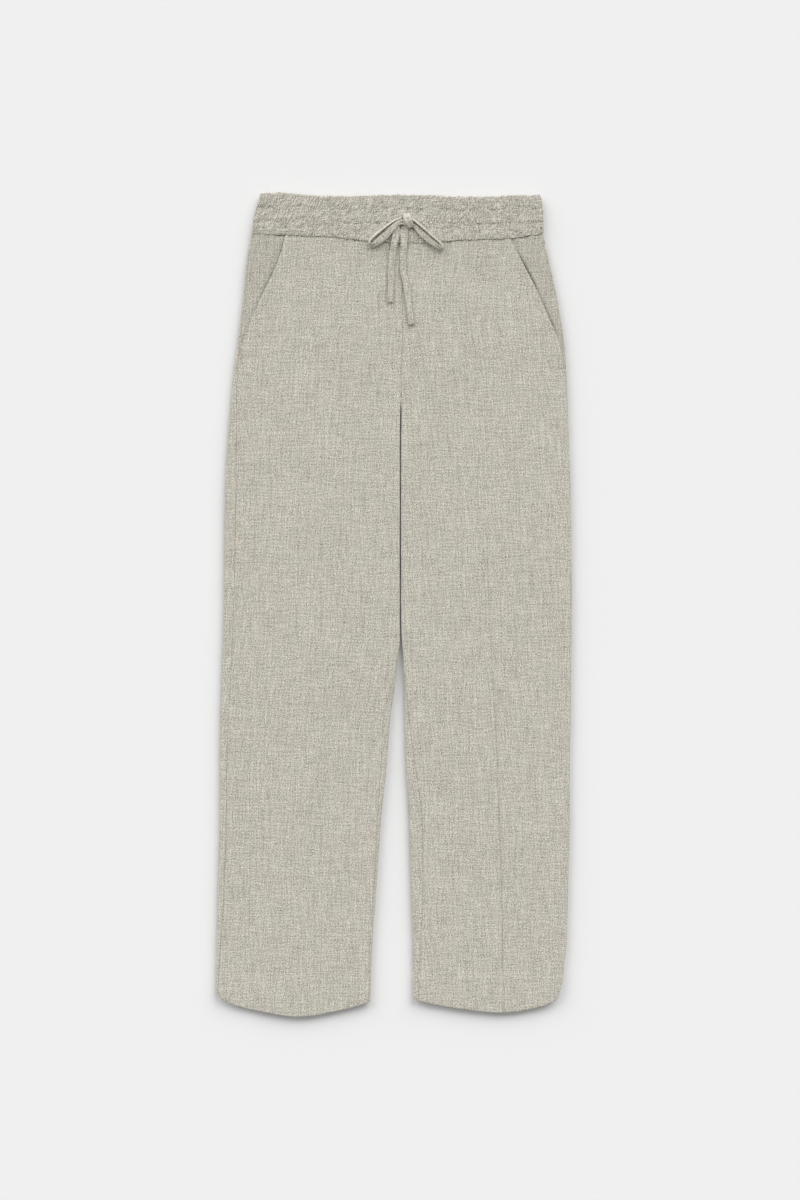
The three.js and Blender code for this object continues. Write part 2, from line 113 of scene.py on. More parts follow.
class Table:
    """Rows of numbers with named columns, read by the first one on a curve that never overshoots its rows."""

    def __init__(self, columns, *rows):
        names = columns.split()
        self.at = [row[0] for row in rows]
        self.columns = {name: [row[i] for row in rows] for i, name in enumerate(names)}
        self.slopes = {name: self._slopes(values) for name, values in self.columns.items()}

    def _slopes(self, values):
        rises = [
            (b - a) / (q - p) for a, b, p, q in zip(values, values[1:], self.at, self.at[1:])
        ]
        middle = [0 if a * b <= 0 else 2 * a * b / (a + b) for a, b in zip(rises, rises[1:])]
        return [rises[0], *middle, rises[-1]]

    def read(self, name, at):
        values, slopes = self.columns[name], self.slopes[name]
        if at <= self.at[0]:
            return values[0]
        if at >= self.at[-1]:
            return values[-1]
        i = bisect_right(self.at, at) - 1
        step = self.at[i + 1] - self.at[i]
        t = (at - self.at[i]) / step
        rise = values[i + 1] - values[i]
        start, end = slopes[i] * step, slopes[i + 1] * step
        return values[i] + t * (start + t * (3 * rise - 2 * start - end + t * (start + end - 2 * rise)))


LEG_COLUMNS = "down outer inner side inseam"
RIGHT_LEG = Table(
    LEG_COLUMNS,
    (0.054, 0.1946, 0, 0.0035, 0),
    (0.088, 0.2000, 0, 0.0035, 0),
    (0.140, 0.2052, 0, 0.0035, 0),
    (0.190, 0.2115, 0, 0.0043, 0),
    (0.242, 0.2180, 0, 0.0072, 0),
    (0.319, 0.2244, 0, 0.0127, 0),
    (0.396, 0.2282, 0, 0.0158, 0),
    (0.524, 0.2295, 0, 0.0146, 0),
    (0.580, 0.2309, 0.0013, 0.0140, 0.0015),
    (0.592, 0.2314, 0.0036, 0.0138, 0.0022),
    (0.628, 0.2325, 0.0086, 0.0135, 0.0050),
    (0.678, 0.2340, 0.0157, 0.0120, 0.0105),
    (0.730, 0.2346, 0.0198, 0.0107, 0.0090),
    (0.807, 0.2348, 0.0274, 0.0102, 0.0065),
    (0.884, 0.2366, 0.0327, 0.0095, 0.0050),
    (0.961, 0.2385, 0.0384, 0.0070, 0.0045),
    (1.045, 0.2397, 0.0417, 0.0040, 0.0040),
)
LEFT_LEG = Table(
    LEG_COLUMNS,
    (0.054, 0.1810, 0, 0.0035, 0),
    (0.088, 0.1885, 0, 0.0035, 0),
    (0.140, 0.1998, 0, 0.0035, 0),
    (0.190, 0.2076, 0, 0.0030, 0),
    (0.242, 0.2114, 0, -0.0010, 0),
    (0.319, 0.2140, 0, -0.0025, 0),
    (0.396, 0.2165, 0, -0.0025, 0),
    (0.524, 0.2179, 0, -0.0025, 0),
    (0.580, 0.2175, 0.0010, -0.0025, 0.0005),
    (0.592, 0.2174, 0.0020, -0.0025, 0.0011),
    (0.628, 0.2169, 0.0021, -0.0025, 0.0030),
    (0.678, 0.2163, 0.0031, -0.0025, 0.0070),
    (0.730, 0.2153, 0.0044, -0.0025, 0.0125),
    (0.807, 0.2152, 0.0084, -0.0025, 0.0185),
    (0.884, 0.2133, 0.0105, -0.0025, 0.0175),
    (0.961, 0.2113, 0.0133, -0.0025, 0.0120),
    (1.045, 0.2068, 0.0136, -0.0025, 0.0080),
)

# The fronts' centre seam, and the crevice under it, lean over to the wearer's right.
CENTRE = Table(
    "down lean",
    (0.200, 0),
    (0.270, -0.0019),
    (0.360, -0.0027),
    (0.540, -0.0027),
    (0.600, -0.0013),
    (0.640, 0),
)

POCKET_COLUMNS = "down across"
RIGHT_POCKET = Table(
    POCKET_COLUMNS,
    (0.054, 0.1510),
    (0.074, 0.1555),
    (0.107, 0.1683),
    (0.132, 0.1806),
    (0.146, 0.1870),
    (0.190, 0.2040),
    (0.208, 0.2104),
)
LEFT_POCKET = Table(
    POCKET_COLUMNS,
    (0.054, 0.1385),
    (0.098, 0.1589),
    (0.126, 0.1725),
    (0.143, 0.1802),
    (0.164, 0.1892),
    (0.182, 0.1972),
    (0.226, 0.2090),
)
# How deep the side piece lies under the edge of the pocket's mouth: it gapes in places and is shut in others.
MOUTH_COLUMNS = "down open"
RIGHT_MOUTH = Table(
    MOUTH_COLUMNS,
    (0.054, 0.0012),
    (0.066, 0.0019),
    (0.115, 0.0020),
    (0.138, 0.0016),
    (0.155, 0.0009),
    (0.208, 0.0006),
)
LEFT_MOUTH = Table(
    MOUTH_COLUMNS,
    (0.054, 0.0005),
    (0.073, 0.0006),
    (0.079, 0.0022),
    (0.100, 0.0040),
    (0.121, 0.0033),
    (0.131, 0.0014),
    (0.142, 0.0018),
    (0.170, 0.0020),
    (0.184, 0.0012),
    (0.192, 0.0006),
    (0.226, 0.0005),
)

CREASE_COLUMNS = "down across height"
RIGHT_CREASE = Table(
    CREASE_COLUMNS,
    (0.054, 0.090, 0),
    (0.152, 0.093, 0.00020),
    (0.280, 0.100, 0.00022),
    (0.441, 0.105, 0.00025),
    (0.556, 0.109, 0.00028),
    (0.717, 0.125, 0.00032),
    (0.850, 0.131, 0.00015),
    (1.045, 0.136, 0.00008),
)
LEFT_CREASE = Table(
    CREASE_COLUMNS,
    (0.054, 0.092, 0),
    (0.128, 0.087, 0.0003),
    (0.248, 0.097, 0.0004),
    (0.402, 0.106, 0.0006),
    (0.544, 0.112, 0.0009),
    (0.717, 0.121, 0.0012),
    (0.890, 0.127, 0.0012),
    (1.045, 0.130, 0.0009),
)

HEM_COLUMNS = "inward down"
RIGHT_HEM = Table(
    HEM_COLUMNS,
    (0, 1.028),
    (0.010, 1.039),
    (0.047, 1.051),
    (0.105, 1.060),
    (0.163, 1.051),
    (0.198, 1.041),
)
LEFT_HEM = Table(
    HEM_COLUMNS,
    (0, 1.006),
    (0.002, 1.020),
    (0.009, 1.037),
    (0.029, 1.047),
    (0.083, 1.055),
    (0.124, 1.051),
    (0.184, 1.040),
    (0.194, 1.036),
)

BAND_SIDES = Table(
    "down left right",
    (0, 0.1770, 0.1835),
    (0.010, 0.1793, 0.1857),
    (0.030, 0.1806, 0.1908),
    (WAIST, 0.1814, 0.1940),
)

# How far down the waistband's top edge lies, and how far its seam sags, at each place across.
BAND_LINES = Table(
    "across top seam",
    (-0.185, 0.0026, 0.0000),
    (-0.178, 0.0019, 0.0002),
    (-0.168, 0.0007, 0.0009),
    (-0.155, 0.0000, 0.0013),
    (-0.142, 0.0012, 0.0017),
    (-0.129, 0.0024, 0.0024),
    (-0.116, 0.0035, 0.0028),
    (-0.091, 0.0046, 0.0040),
    (-0.065, 0.0046, 0.0067),
    (-0.052, 0.0042, 0.0082),
    (-0.026, 0.0034, 0.0104),
    (-0.001, 0.0032, 0.0118),
    (0.038, 0.0036, 0.0112),
    (0.064, 0.0050, 0.0091),
    (0.076, 0.0054, 0.0082),
    (0.102, 0.0054, 0.0071),
    (0.128, 0.0045, 0.0063),
    (0.141, 0.0034, 0.0054),
    (0.154, 0.0032, 0.0038),
    (0.166, 0.0041, 0.0017),
    (0.180, 0.0034, 0.0000),
)


def rows_of(kind, *rows):
    return [kind(*row) for row in rows]


# Soft folds listed for each front: where, how wide and long, how they lean and how high they stand.
Fold = namedtuple("Fold", "across down width length lean height")
RIGHT_FOLDS = rows_of(
    Fold,
    (0.196, 0.385, 0.006, 0.080, -0.10, -0.0006),
    (0.184, 0.380, 0.009, 0.085, -0.10, 0.0004),
    (0.093, 0.113, 0.005, 0.034, 0.03, -0.0005),
    (0.081, 0.118, 0.007, 0.040, 0.03, 0.0004),
    (0.128, 0.106, 0.006, 0.030, 0.05, -0.0003),
    (0.040, 0.130, 0.008, 0.040, -0.02, 0.0003),
    (0.150, 0.520, 0.030, 0.120, 0.02, 0.0007),
    (0.060, 0.600, 0.030, 0.140, -0.03, 0.0006),
    (0.190, 0.860, 0.022, 0.120, 0.03, -0.0005),
    (0.085, 0.940, 0.026, 0.090, 0.02, 0.0005),
)
LEFT_FOLDS = rows_of(
    Fold,
    (0.145, 0.171, 0.006, 0.036, 0.48, -0.0006),
    (0.134, 0.176, 0.008, 0.040, 0.42, 0.0004),
    (0.061, 0.115, 0.004, 0.034, 0.00, -0.0005),
    (0.053, 0.118, 0.005, 0.036, 0.00, 0.0005),
    (0.038, 0.105, 0.005, 0.028, 0.02, -0.0004),
    (0.106, 0.180, 0.008, 0.060, 0.08, 0.0005),
    (0.196, 0.620, 0.016, 0.200, 0.00, 0.0007),
    (0.160, 0.560, 0.020, 0.180, -0.02, -0.0006),
    (0.050, 0.480, 0.026, 0.140, 0.02, 0.0006),
    (0.070, 0.830, 0.026, 0.120, 0.02, 0.0005),
    (0.190, 0.930, 0.014, 0.100, 0.00, 0.0007),
)

Side = namedtuple("Side", "name sign leg pocket mouth crease hem folds")
LEFT = Side("left", 1, LEFT_LEG, LEFT_POCKET, LEFT_MOUTH, LEFT_CREASE, LEFT_HEM, LEFT_FOLDS)
RIGHT = Side("right", -1, RIGHT_LEG, RIGHT_POCKET, RIGHT_MOUTH, RIGHT_CREASE, RIGHT_HEM, RIGHT_FOLDS)

# The drawstring's route. `underside` is the height of what it lies over, `roll` is how far it has rolled up
# on to one edge, in degrees, and `share` is how wide it lies as a share of its full width.
ON_BAND, OVER_BAND, SETTLING, ON_PANEL = 0.0083, 0.0092, 0.0068, 0.0063
TiePoint = namedtuple("TiePoint", "across down underside roll share")
RIGHT_LOOP = rows_of(
    TiePoint,
    (-0.0012, 0.0332, ON_BAND, 62, 0.58),
    (-0.0095, 0.0366, ON_BAND, 60, 0.64),
    (-0.0183, 0.0424, ON_BAND, 58, 0.70),
    (-0.0284, 0.0499, ON_BAND, 56, 0.74),
    (-0.0372, 0.0574, ON_BAND, 58, 0.78),
    (-0.0420, 0.0628, ON_BAND, 64, 0.82),
    (-0.0424, 0.0668, ON_BAND, 62, 0.88),
    (-0.0380, 0.0683, ON_BAND, 36, 0.95),
    (-0.0310, 0.0641, OVER_BAND, 14, 1.10),
    (-0.0215, 0.0560, 0.0098, 8, 1.15),
    (-0.0124, 0.0466, 0.0108, 6, 0.95),
    (-0.0036, 0.0384, 0.0108, 4, 0.55),
)
LEFT_LOOP = rows_of(
    TiePoint,
    (0.0092, 0.0345, ON_BAND, 56, 0.60),
    (0.0146, 0.0366, ON_BAND, 60, 0.66),
    (0.0262, 0.0459, ON_BAND, 58, 0.70),
    (0.0376, 0.0560, ON_BAND, 58, 0.72),
    (0.0468, 0.0640, ON_BAND, 62, 0.76),
    (0.0514, 0.0689, ON_BAND, 68, 0.80),
    (0.0520, 0.0722, ON_BAND, 70, 0.82),
    (0.0496, 0.0735, ON_BAND, 58, 0.82),
    (0.0452, 0.0708, OVER_BAND, 32, 0.78),
    (0.0394, 0.0664, OVER_BAND, 14, 0.88),
    (0.0315, 0.0601, OVER_BAND, 8, 0.96),
    (0.0243, 0.0535, OVER_BAND, 6, 0.92),
    (0.0182, 0.0471, OVER_BAND, 5, 0.76),
    (0.0140, 0.0428, OVER_BAND, 4, 0.62),
)
RIGHT_TAIL = rows_of(
    TiePoint,
    (0.0012, 0.0413, 0.0100, 30, 0.30),
    (-0.0034, 0.0417, 0.0100, 30, 0.32),
    (-0.0062, 0.0440, 0.0090, 10, 0.60),
    (-0.0074, 0.0505, ON_BAND, -4, 1.22),
    (-0.0089, 0.0600, ON_BAND, -8, 1.16),
    (-0.0109, 0.0690, ON_BAND, -9, 1),
    (-0.0125, 0.0780, SETTLING, -11, 1),
    (-0.0138, 0.0900, ON_PANEL, -12, 1),
    (-0.0147, 0.1060, ON_PANEL, -13, 1),
    (-0.0150, 0.1280, ON_PANEL, -12, 1),
    (-0.0155, 0.1420, ON_PANEL, -6, 1),
)
LEFT_TAIL = rows_of(
    TiePoint,
    (0.0056, 0.0452, ON_BAND, 0, 0.95),
    (0.0025, 0.0505, ON_BAND, 0, 1.22),
    (0.0020, 0.0590, ON_BAND, 4, 1.14),
    (0.0016, 0.0680, ON_BAND, 6, 1.04),
    (0.0009, 0.0780, SETTLING, 7, 1),
    (0.0005, 0.0900, ON_PANEL, 8, 1),
    (0.0009, 0.1020, ON_PANEL, 11, 1),
    (0.0034, 0.1120, ON_PANEL, 14, 1),
    (0.0056, 0.1240, ON_PANEL, 12, 1),
    (0.0078, 0.1426, ON_PANEL, 9, 1),
    (0.0117, 0.1710, ON_PANEL, 6, 1),
)
# Inside the knot each end passes from its loop to its tail, and the wrap crosses over both.
RIGHT_CROSSING = rows_of(TiePoint, (0.0040, 0.0378, 0.0100, 10, 0.5), (0.0052, 0.0404, ON_BAND, 40, 0.5))
LEFT_CROSSING = rows_of(TiePoint, (0.0102, 0.0428, 0.0100, 0, 0.6))
KNOT_WRAP = rows_of(
    TiePoint,
    (0.0046, 0.0282, 0.0084, 0, 1.10),
    (0.0048, 0.0294, 0.0102, 0, 1.18),
    (0.0054, 0.0322, 0.0124, 0, 1.26),
    (0.0066, 0.0362, 0.0136, 0, 1.22),
    (0.0088, 0.0408, 0.0132, 0, 1.12),
    (0.0104, 0.0446, 0.0118, 0, 1.08),
    (0.0110, 0.0462, 0.0100, 0, 1.02),
)
KNOT_MIDDLE = (0.0062, 0.0377)
KNOT_SIZE = (0.0120, 0.0150, 0.0050)

# ---------------------------------------------------------------- settings


class ClothSettings(bpy.types.PropertyGroup):
    colour: FloatVectorProperty(
        name="Colour",
        description="Mean colour of the cloth",
        subtype="COLOR",
        default=(0.535, 0.508, 0.441),
        max=1,
    )
    thread_pitch: FloatProperty(
        name="Thread pitch", description="Distance between two threads", default=0.00076, unit="LENGTH"
    )
    thickness: FloatProperty(
        name="Thickness", description="Thickness of one layer of cloth", default=0.0004, unit="LENGTH"
    )
    contrast: FloatProperty(name="Contrast", description="How far threads differ in tone", default=1.0)


class BowSettings(bpy.types.PropertyGroup):
    width: FloatProperty(name="Tie width", description="Width of the flat tie", default=0.008, unit="LENGTH")
    thickness: FloatProperty(
        name="Tie thickness", description="Thickness of the flat tie", default=0.0018, unit="LENGTH"
    )
    rings: IntProperty(name="Rings", description="Rings between two points of the route", default=10)


class StageSettings(bpy.types.PropertyGroup):
    floor: FloatVectorProperty(
        name="Floor", description="Colour of the floor", subtype="COLOR", default=(0.876, 0.876, 0.876), max=1
    )
    key: FloatProperty(name="Key light", description="Strength of the upper right light", default=2.16)
    side: FloatProperty(name="Side light", description="Strength of the upper left light", default=1.62)
    fill: FloatProperty(name="Fill light", description="Strength of the light from all round", default=0.405)
    lens: FloatProperty(name="Lens", description="Focal length", default=100, unit="CAMERA")


# ---------------------------------------------------------------- small helpers


def smooth(start, end, at):
    t = min(1, max(0, (at - start) / (end - start)))
    return t * t * (3 - 2 * t)


def wave(x, y, seed):
    """A smooth random height from about -1 to 1."""
    return 1.6 * noise.noise(Vector((x, y, seed * 7.31)))


def stations(knots, steps):
    """Places between the knots, so many steps to each stretch. Knots in the wrong order are drawn together."""
    found = [knots[0]]
    direction = 1 if knots[-1] > knots[0] else -1
    start = knots[0]
    for knot, count in zip(knots[1:], steps):
        end = max(start, knot) if direction > 0 else min(start, knot)
        found += [start + (end - start) * k / count for k in range(1, count + 1)]
        start = end
    return found


def waist_sag(across):
    """How far the waistband's seam sags, with the small waves that the gathers put in it."""
    return BAND_LINES.read("seam", across) + 0.00045 * wave(across / 0.0055, 0.5, 11)


def turned_in(along, radius, angle):
    """How far an edge has advanced, and how deep it lies, after turning in along an arc and running on."""
    arc = radius * angle
    if along <= arc:
        a = along / radius
        return radius * math.sin(a), radius * (1 - math.cos(a))
    rest = along - arc
    return (
        radius * math.sin(angle) + rest * math.cos(angle),
        radius * (1 - math.cos(angle)) + rest * math.sin(angle),
    )


def settings():
    return bpy.context.scene.trousers_cloth


# ---------------------------------------------------------------- the flat tubes


class FlatTube:
    """One level across a flat tube of cloth with rounded edges.

    Its outer face is walked from the outer edge: a positive place runs up over the top and a negative one
    underneath.
    """

    def __init__(self, width, height, turn, tuck=None):
        """`turn` is how far round the inner edge goes, and `tuck` how wide that edge's rounding is."""
        self.height = height
        self.radius = height / 2
        self.tuck = tuck or self.radius
        self.quarter = self.radius * math.pi / 2
        self.flat_end = width - self.tuck * math.sin(turn)
        self.turn = turn
        self.turn_start = self.quarter + self.flat_end - self.radius
        self.turn_length = turn * math.hypot(self.tuck, self.radius) / math.sqrt(2)
        self.reach = self.turn_start + self.turn_length

    def _over(self, place):
        r = self.radius
        if place < self.quarter:
            a = place / r
            return r * (1 - math.cos(a)), r * (1 + math.sin(a)), math.cos(a), -math.sin(a)
        if place <= self.turn_start or not self.turn:
            return r + place - self.quarter, self.height, 0, -1
        a = self.turn * (place - self.turn_start) / self.turn_length
        way = Vector((math.sin(a) / self.tuck, math.cos(a) / r)).normalized()
        return self.flat_end + self.tuck * math.sin(a), self.height - r * (1 - math.cos(a)), -way.x, -way.y

    def at(self, place):
        """How far inward and how high a place is, and the way into the cloth there."""
        if place >= 0:
            return self._over(place)
        if place < -self.reach:
            return self._over(2 * self.reach + place)
        inward, z, lean, fall = self._over(-place)
        return inward, self.height - z, lean, -fall

    def place_of(self, inward):
        if inward < self.radius:
            return self.radius * math.acos(min(1, 1 - inward / self.radius))
        return inward - self.radius + self.quarter


class Level:
    """One level across a leg, and where its pieces start and end along the cloth."""

    def __init__(self, side, down):
        self.side, self.down = side, down
        self.outer = side.leg.read("outer", down)
        parted = smooth(CREVICE_TOP, CROTCH, down)
        self.inner = max(side.leg.read("inner", down), CREVICE_GAP / 2 * parted)
        self.inner += side.sign * CENTRE.read("lean", down)
        self.turn = math.pi / 2 * parted
        tuck = LEG_HEIGHT / 2 * (0.32 + 0.68 * smooth(0.54, 0.67, down))
        self.tube = FlatTube(self.outer - self.inner, LEG_HEIGHT, self.turn, tuck)
        self.side_seam = side.leg.read("side", down)
        self.inseam = side.leg.read("inseam", down)
        self.pocket_end = side.pocket.at[-1]
        edge = self.tube.place_of(self.outer - side.pocket.read("across", down))
        self.front_edge = max(self.side_seam, edge) if down < self.pocket_end else self.side_seam
        self.crease = self.tube.place_of(self.outer - side.crease.read("across", down))
        self.crease_height = side.crease.read("height", down)
        self.open = side.mouth.read("open", down) if self.front_edge > self.side_seam else 0

    def lifted(self, place):
        """How far a gaping pocket mouth lifts the front next to it."""
        return MOUTH_LIFT * max(0, self.open - MOUTH_REST) * (1 - smooth(0, 0.016, place - self.front_edge))

    def bent_down(self, inward):
        """How far down a point really lies: rows bend to the waist seam above and to the hem below."""
        to_waist = 1 - smooth(WAIST, WAIST + WAIST_BLEND, self.down)
        to_hem = smooth(HEM_LEVEL - HEM_BLEND, HEM_LEVEL, self.down)
        down = self.down
        if to_waist > 0:
            across = self.side.sign * (self.outer - inward)
            down += to_waist * (waist_sag(across) + SEWN_GAP / 2)
        if to_hem > 0:
            down += to_hem * (self.side.hem.read("down", inward) - HEM_LEVEL)
        return down


def leg_relief(level, inward, down):
    """How far the cloth on top of a leg stands out from its flat tube, at a point on the top."""
    side, across = level.side, level.outer - inward
    held = smooth(0, 0.045, inward)
    if level.turn > 0:
        gap = across - level.inner
        held *= 1 + level.turn / (math.pi / 2) * (smooth(0, 0.045, gap) - 1)
    held *= smooth(WAIST, WAIST + 0.06, down)
    held *= 1 - 0.85 * math.exp(-((across / 0.024) ** 2)) * (1 - smooth(0.17, 0.21, down))
    lift = -held * (0.0012 + 0.0006 * wave(across / 0.06, down / 0.13, side.sign))
    loose = smooth(0.001, 0.012, inward)
    folds = sum(
        fold.height
        * math.exp(
            -(((across - fold.across - fold.lean * (down - fold.down)) / fold.width) ** 2)
            - ((down - fold.down) / fold.length) ** 2
        )
        for fold in side.folds
        if abs(down - fold.down) < 2.5 * fold.length
    )
    gathers = (1 - smooth(WAIST, WAIST + 0.085, down)) * (
        0.00055 * wave(across / 0.011, down / 0.07, 3) + 0.0003 * wave(across / 0.005, down / 0.03, 4)
    )
    crumple = 0.00012 * wave(across / 0.012, down / 0.016, 5)
    crumple += 0.00025 * wave(across / 0.04, down / 0.05, 6)
    hem = 0.00035 * smooth(LENGTH - 0.055, LENGTH - 0.050, down)
    at_waist = math.exp(-(((level.down - WAIST) / 0.0025) ** 2))
    pinch = at_waist * (0.0001 + 0.0006 * wave(across / 0.006, 0, 8))
    return lift + loose * (folds + gathers + crumple + hem) - max(0, pinch)


def crease_ridge(level, place):
    """A pressed crease: a narrow ditch with a low ridge along its left."""
    off = (place - level.crease) * -level.side.sign
    ridge = 0.45 * math.exp(-(((off - 0.0022) / 0.0017) ** 2))
    ditch = math.exp(-((off / 0.0009) ** 2))
    return level.crease_height * (ridge - ditch)


def on_leg(level, place, lift=0.0, slide=0.0):
    """A point on the cloth of a leg, lifted off its face and slid down."""
    inward, z, lean, fall = level.tube.at(place)
    down = level.bent_down(inward)
    on_top = place >= 0 or place < -level.tube.reach
    if on_top:
        lift += leg_relief(level, inward, down)
        if place >= 0:
            lift += crease_ridge(level, place)
    across = level.outer - inward + lift * lean
    return Vector((CENTRE_X + level.side.sign * across, TOP - down - slide, z - lift * fall))


# ---------------------------------------------------------------- making meshes


def finished(name, mesh, material, slot, *nodes):
    """The mesh as an object that rides with the garment and stands for the frame's own plain pieces."""
    data = bpy.data.meshes.new(name)
    mesh.to_mesh(data)
    mesh.free()
    data.shade_smooth()
    data.materials.append(material)
    piece = bpy.data.objects.new(name, data)
    bpy.context.scene.collection.objects.link(piece)
    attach(piece, "root")
    if nodes:
        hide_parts(*nodes)
    return piece


def cloth_grid(columns, rows, corner):
    """A grid of cloth. corner(column, row) gives a corner's point and its UV, a place on the flat cloth."""
    mesh = bmesh.new()
    bmesh.ops.create_grid(mesh, x_segments=columns, y_segments=rows, size=0.5)
    flat = mesh.loops.layers.uv.new("flat_cloth")
    placed = {}
    for vertex in mesh.verts:
        column, row = round((vertex.co.x + 0.5) * columns), round((vertex.co.y + 0.5) * rows)
        vertex.co, placed[vertex] = corner(column, row)
    for face in mesh.faces:
        for loop in face.loops:
            loop[flat].uv = placed[loop.vert]
    return mesh


def close_up(mesh):
    """Joins the corners where a rolled-up grid meets itself, and closes its two ends."""
    bmesh.ops.remove_doubles(mesh, verts=mesh.verts, dist=1e-6)
    bmesh.ops.holes_fill(mesh, edges=[edge for edge in mesh.edges if edge.is_boundary], sides=0)


def turn_out(mesh, way):
    """Turns an open sheet's faces so that most of them look along `way`."""
    mesh.normal_update()
    if sum(face.normal.dot(way) * face.calc_area() for face in mesh.faces) < 0:
        bmesh.ops.reverse_faces(mesh, faces=mesh.faces)


def flat_size(piece):
    """The size of the flat cloth that a piece was cut from, and its area."""
    uvs = piece.data.uv_layers[0].uv
    across = [uv.vector.x for uv in uvs]
    along = [uv.vector.y for uv in uvs]
    area = 0.0
    for face in piece.data.polygons:
        corners = [uvs[i].vector for i in face.loop_indices]
        area += abs(sum(a.cross(b) for a, b in zip(corners, corners[1:] + corners[:1]))) / 2
    return (max(across) - min(across), max(along) - min(along)), area


def thicken(piece, thickness):
    """Gives a sheet its thickness, inwards from its outer face."""
    wall = piece.modifiers.new("Thickness", "SOLIDIFY")
    wall.thickness = thickness
    wall.offset = -1
    wall.use_quality_normals = True


def declare_sheet(piece, held, *rests_on, with_pieces=()):
    size, area = flat_size(piece)


# ---------------------------------------------------------------- leg panels

TURN_STEPS = 5
HIDDEN_STEPS = 3
CREASE_DITCH = 0.0014  # either side of a crease's middle
CREASE_SIDE = 0.008
FACING_COLUMNS = 36
FACING_HIDDEN = 0.020  # how far a pocket's side piece runs on under the front


def turned_edge(radius, angle, hidden):
    """A turned edge, from its hidden end out to where it starts to turn.

    Each step is how far along the cloth it is, how far it has advanced and how deep it lies.
    """
    arc = radius * angle
    steps = [arc + hidden * k / HIDDEN_STEPS for k in range(HIDDEN_STEPS, 0, -1)]
    steps += [arc * k / TURN_STEPS for k in range(TURN_STEPS, 0, -1)]
    return [(along, *turned_in(along, radius, angle)) for along in steps]


def turned_seam(start, way, radius=SEAM_ROLL):
    """The columns of a seam's turned edge, which starts to turn at `start`: place, depth and flat place."""
    return [
        (start + way * advance, depth, start + way * along)
        for along, advance, depth in turned_edge(radius, math.pi / 2, HIDDEN_EDGE)
    ]


def leg_rows():
    """Every row of a leg panel: its level, how far it slides down, how deep it lies and its flat distance."""
    rows = [
        (WAIST, WAIST_ROLL - advance, depth, WAIST_ROLL - along)
        for along, advance, depth in turned_edge(WAIST_ROLL, math.pi / 2, WAIST_HIDDEN_EDGE)
    ]
    knots = [WAIST + WAIST_ROLL, WAIST + 0.006, WAIST + 0.06, HEM_LEVEL - HEM_BLEND, HEM_LEVEL - 0.001]
    rows += [(down, 0, 0, 0) for down in stations(knots, [8, 36, 214, 34])]
    rows += [
        (HEM_LEVEL, advance - HEM_ROLL, depth, along - HEM_ROLL)
        for along, advance, depth in reversed(turned_edge(HEM_ROLL, math.pi, HEM_DEPTH))
    ]
    return rows


def leg_panel(name, node, side, edges, material, way, cut_place):
    """A front or a back. edges(level) gives its columns as (place, depth, flat place).

    It faces along `way`, and its cloth is cut from `cut_place` along the bolt.
    """
    rows = []
    for down, slide, depth, flat_slide in leg_rows():
        level = Level(side, down)
        rows.append((level, slide, depth, flat_slide, edges(level)))

    def corner(column, row):
        level, slide, depth, flat_slide, columns = rows[row]
        place, edge_depth, flat = columns[column]
        point = on_leg(level, place, -depth - edge_depth, slide)
        down = level.bent_down(level.tube.at(place)[0]) + flat_slide
        return point, (flat - level.crease + cut_place, -down)

    mesh = cloth_grid(len(rows[0][-1]) - 1, len(rows) - 1, corner)
    # Corners that coincide, where a stretch of columns has no width, are merged.
    bmesh.ops.remove_doubles(mesh, verts=mesh.verts, dist=3e-5)
    bmesh.ops.dissolve_degenerate(mesh, dist=1e-5, edges=mesh.edges)
    turn_out(mesh, way)
    piece = finished(name, mesh, material, "heathered_cloth", node)
    thicken(piece, settings().thickness)
    declare_sheet(piece, "laid")
    return piece


def front_columns(level):
    """Across a front, from the side seam or the pocket's mouth to the centre seam or the inseam."""
    mouth = level.front_edge > level.side_seam
    start = level.front_edge + (0 if mouth else SEWN_GAP / 2)
    end = level.tube.reach - level.inseam - SEWN_GAP / 2
    folded = smooth(0.0007, 0.0011, level.open) if mouth else 0
    roll = MOUTH_ROLL if mouth else SEAM_ROLL
    angle = math.pi / 2 * (1 + folded)
    columns = []
    for along, advance, depth in turned_edge(roll, angle, HIDDEN_EDGE + folded * MOUTH_DEPTH):
        place = start + roll - advance
        columns.append((place, depth - level.lifted(place), start + roll - along))
    inner_roll = FLAT_ROLL + (SEAM_ROLL - FLAT_ROLL) * smooth(CREVICE_TOP - 0.02, CROTCH, level.down)
    knots = [
        start + roll,
        start + 0.012,
        level.crease - CREASE_SIDE,
        level.crease - CREASE_DITCH,
        level.crease + CREASE_DITCH,
        level.crease + CREASE_SIDE,
        min(level.tube.turn_start, end - inner_roll),
        end - inner_roll,
    ]
    columns += [(place, -level.lifted(place), place) for place in stations(knots, [6, 40, 6, 8, 6, 48, 6])]
    return [*columns, *reversed(turned_seam(end - inner_roll, 1, inner_roll))]


def back_columns(level):
    """Across a back, from the side seam round under the leg and up again to the inseam."""
    start = level.side_seam - SEWN_GAP / 2
    end = SEWN_GAP / 2 - level.tube.reach - level.inseam
    knots = [
        start - SEAM_ROLL,
        min(start - SEAM_ROLL, level.tube.quarter),
        -level.tube.quarter,
        -level.tube.turn_start,
        min(-level.tube.turn_start, max(end + SEAM_ROLL, -level.tube.reach)),
        end + SEAM_ROLL,
    ]
    columns = turned_seam(start - SEAM_ROLL, 1)
    columns += [(place, 0, place) for place in stations(knots, [8, 10, 44, 6, 10])]
    return [*columns, *reversed(turned_seam(end + SEAM_ROLL, -1))]


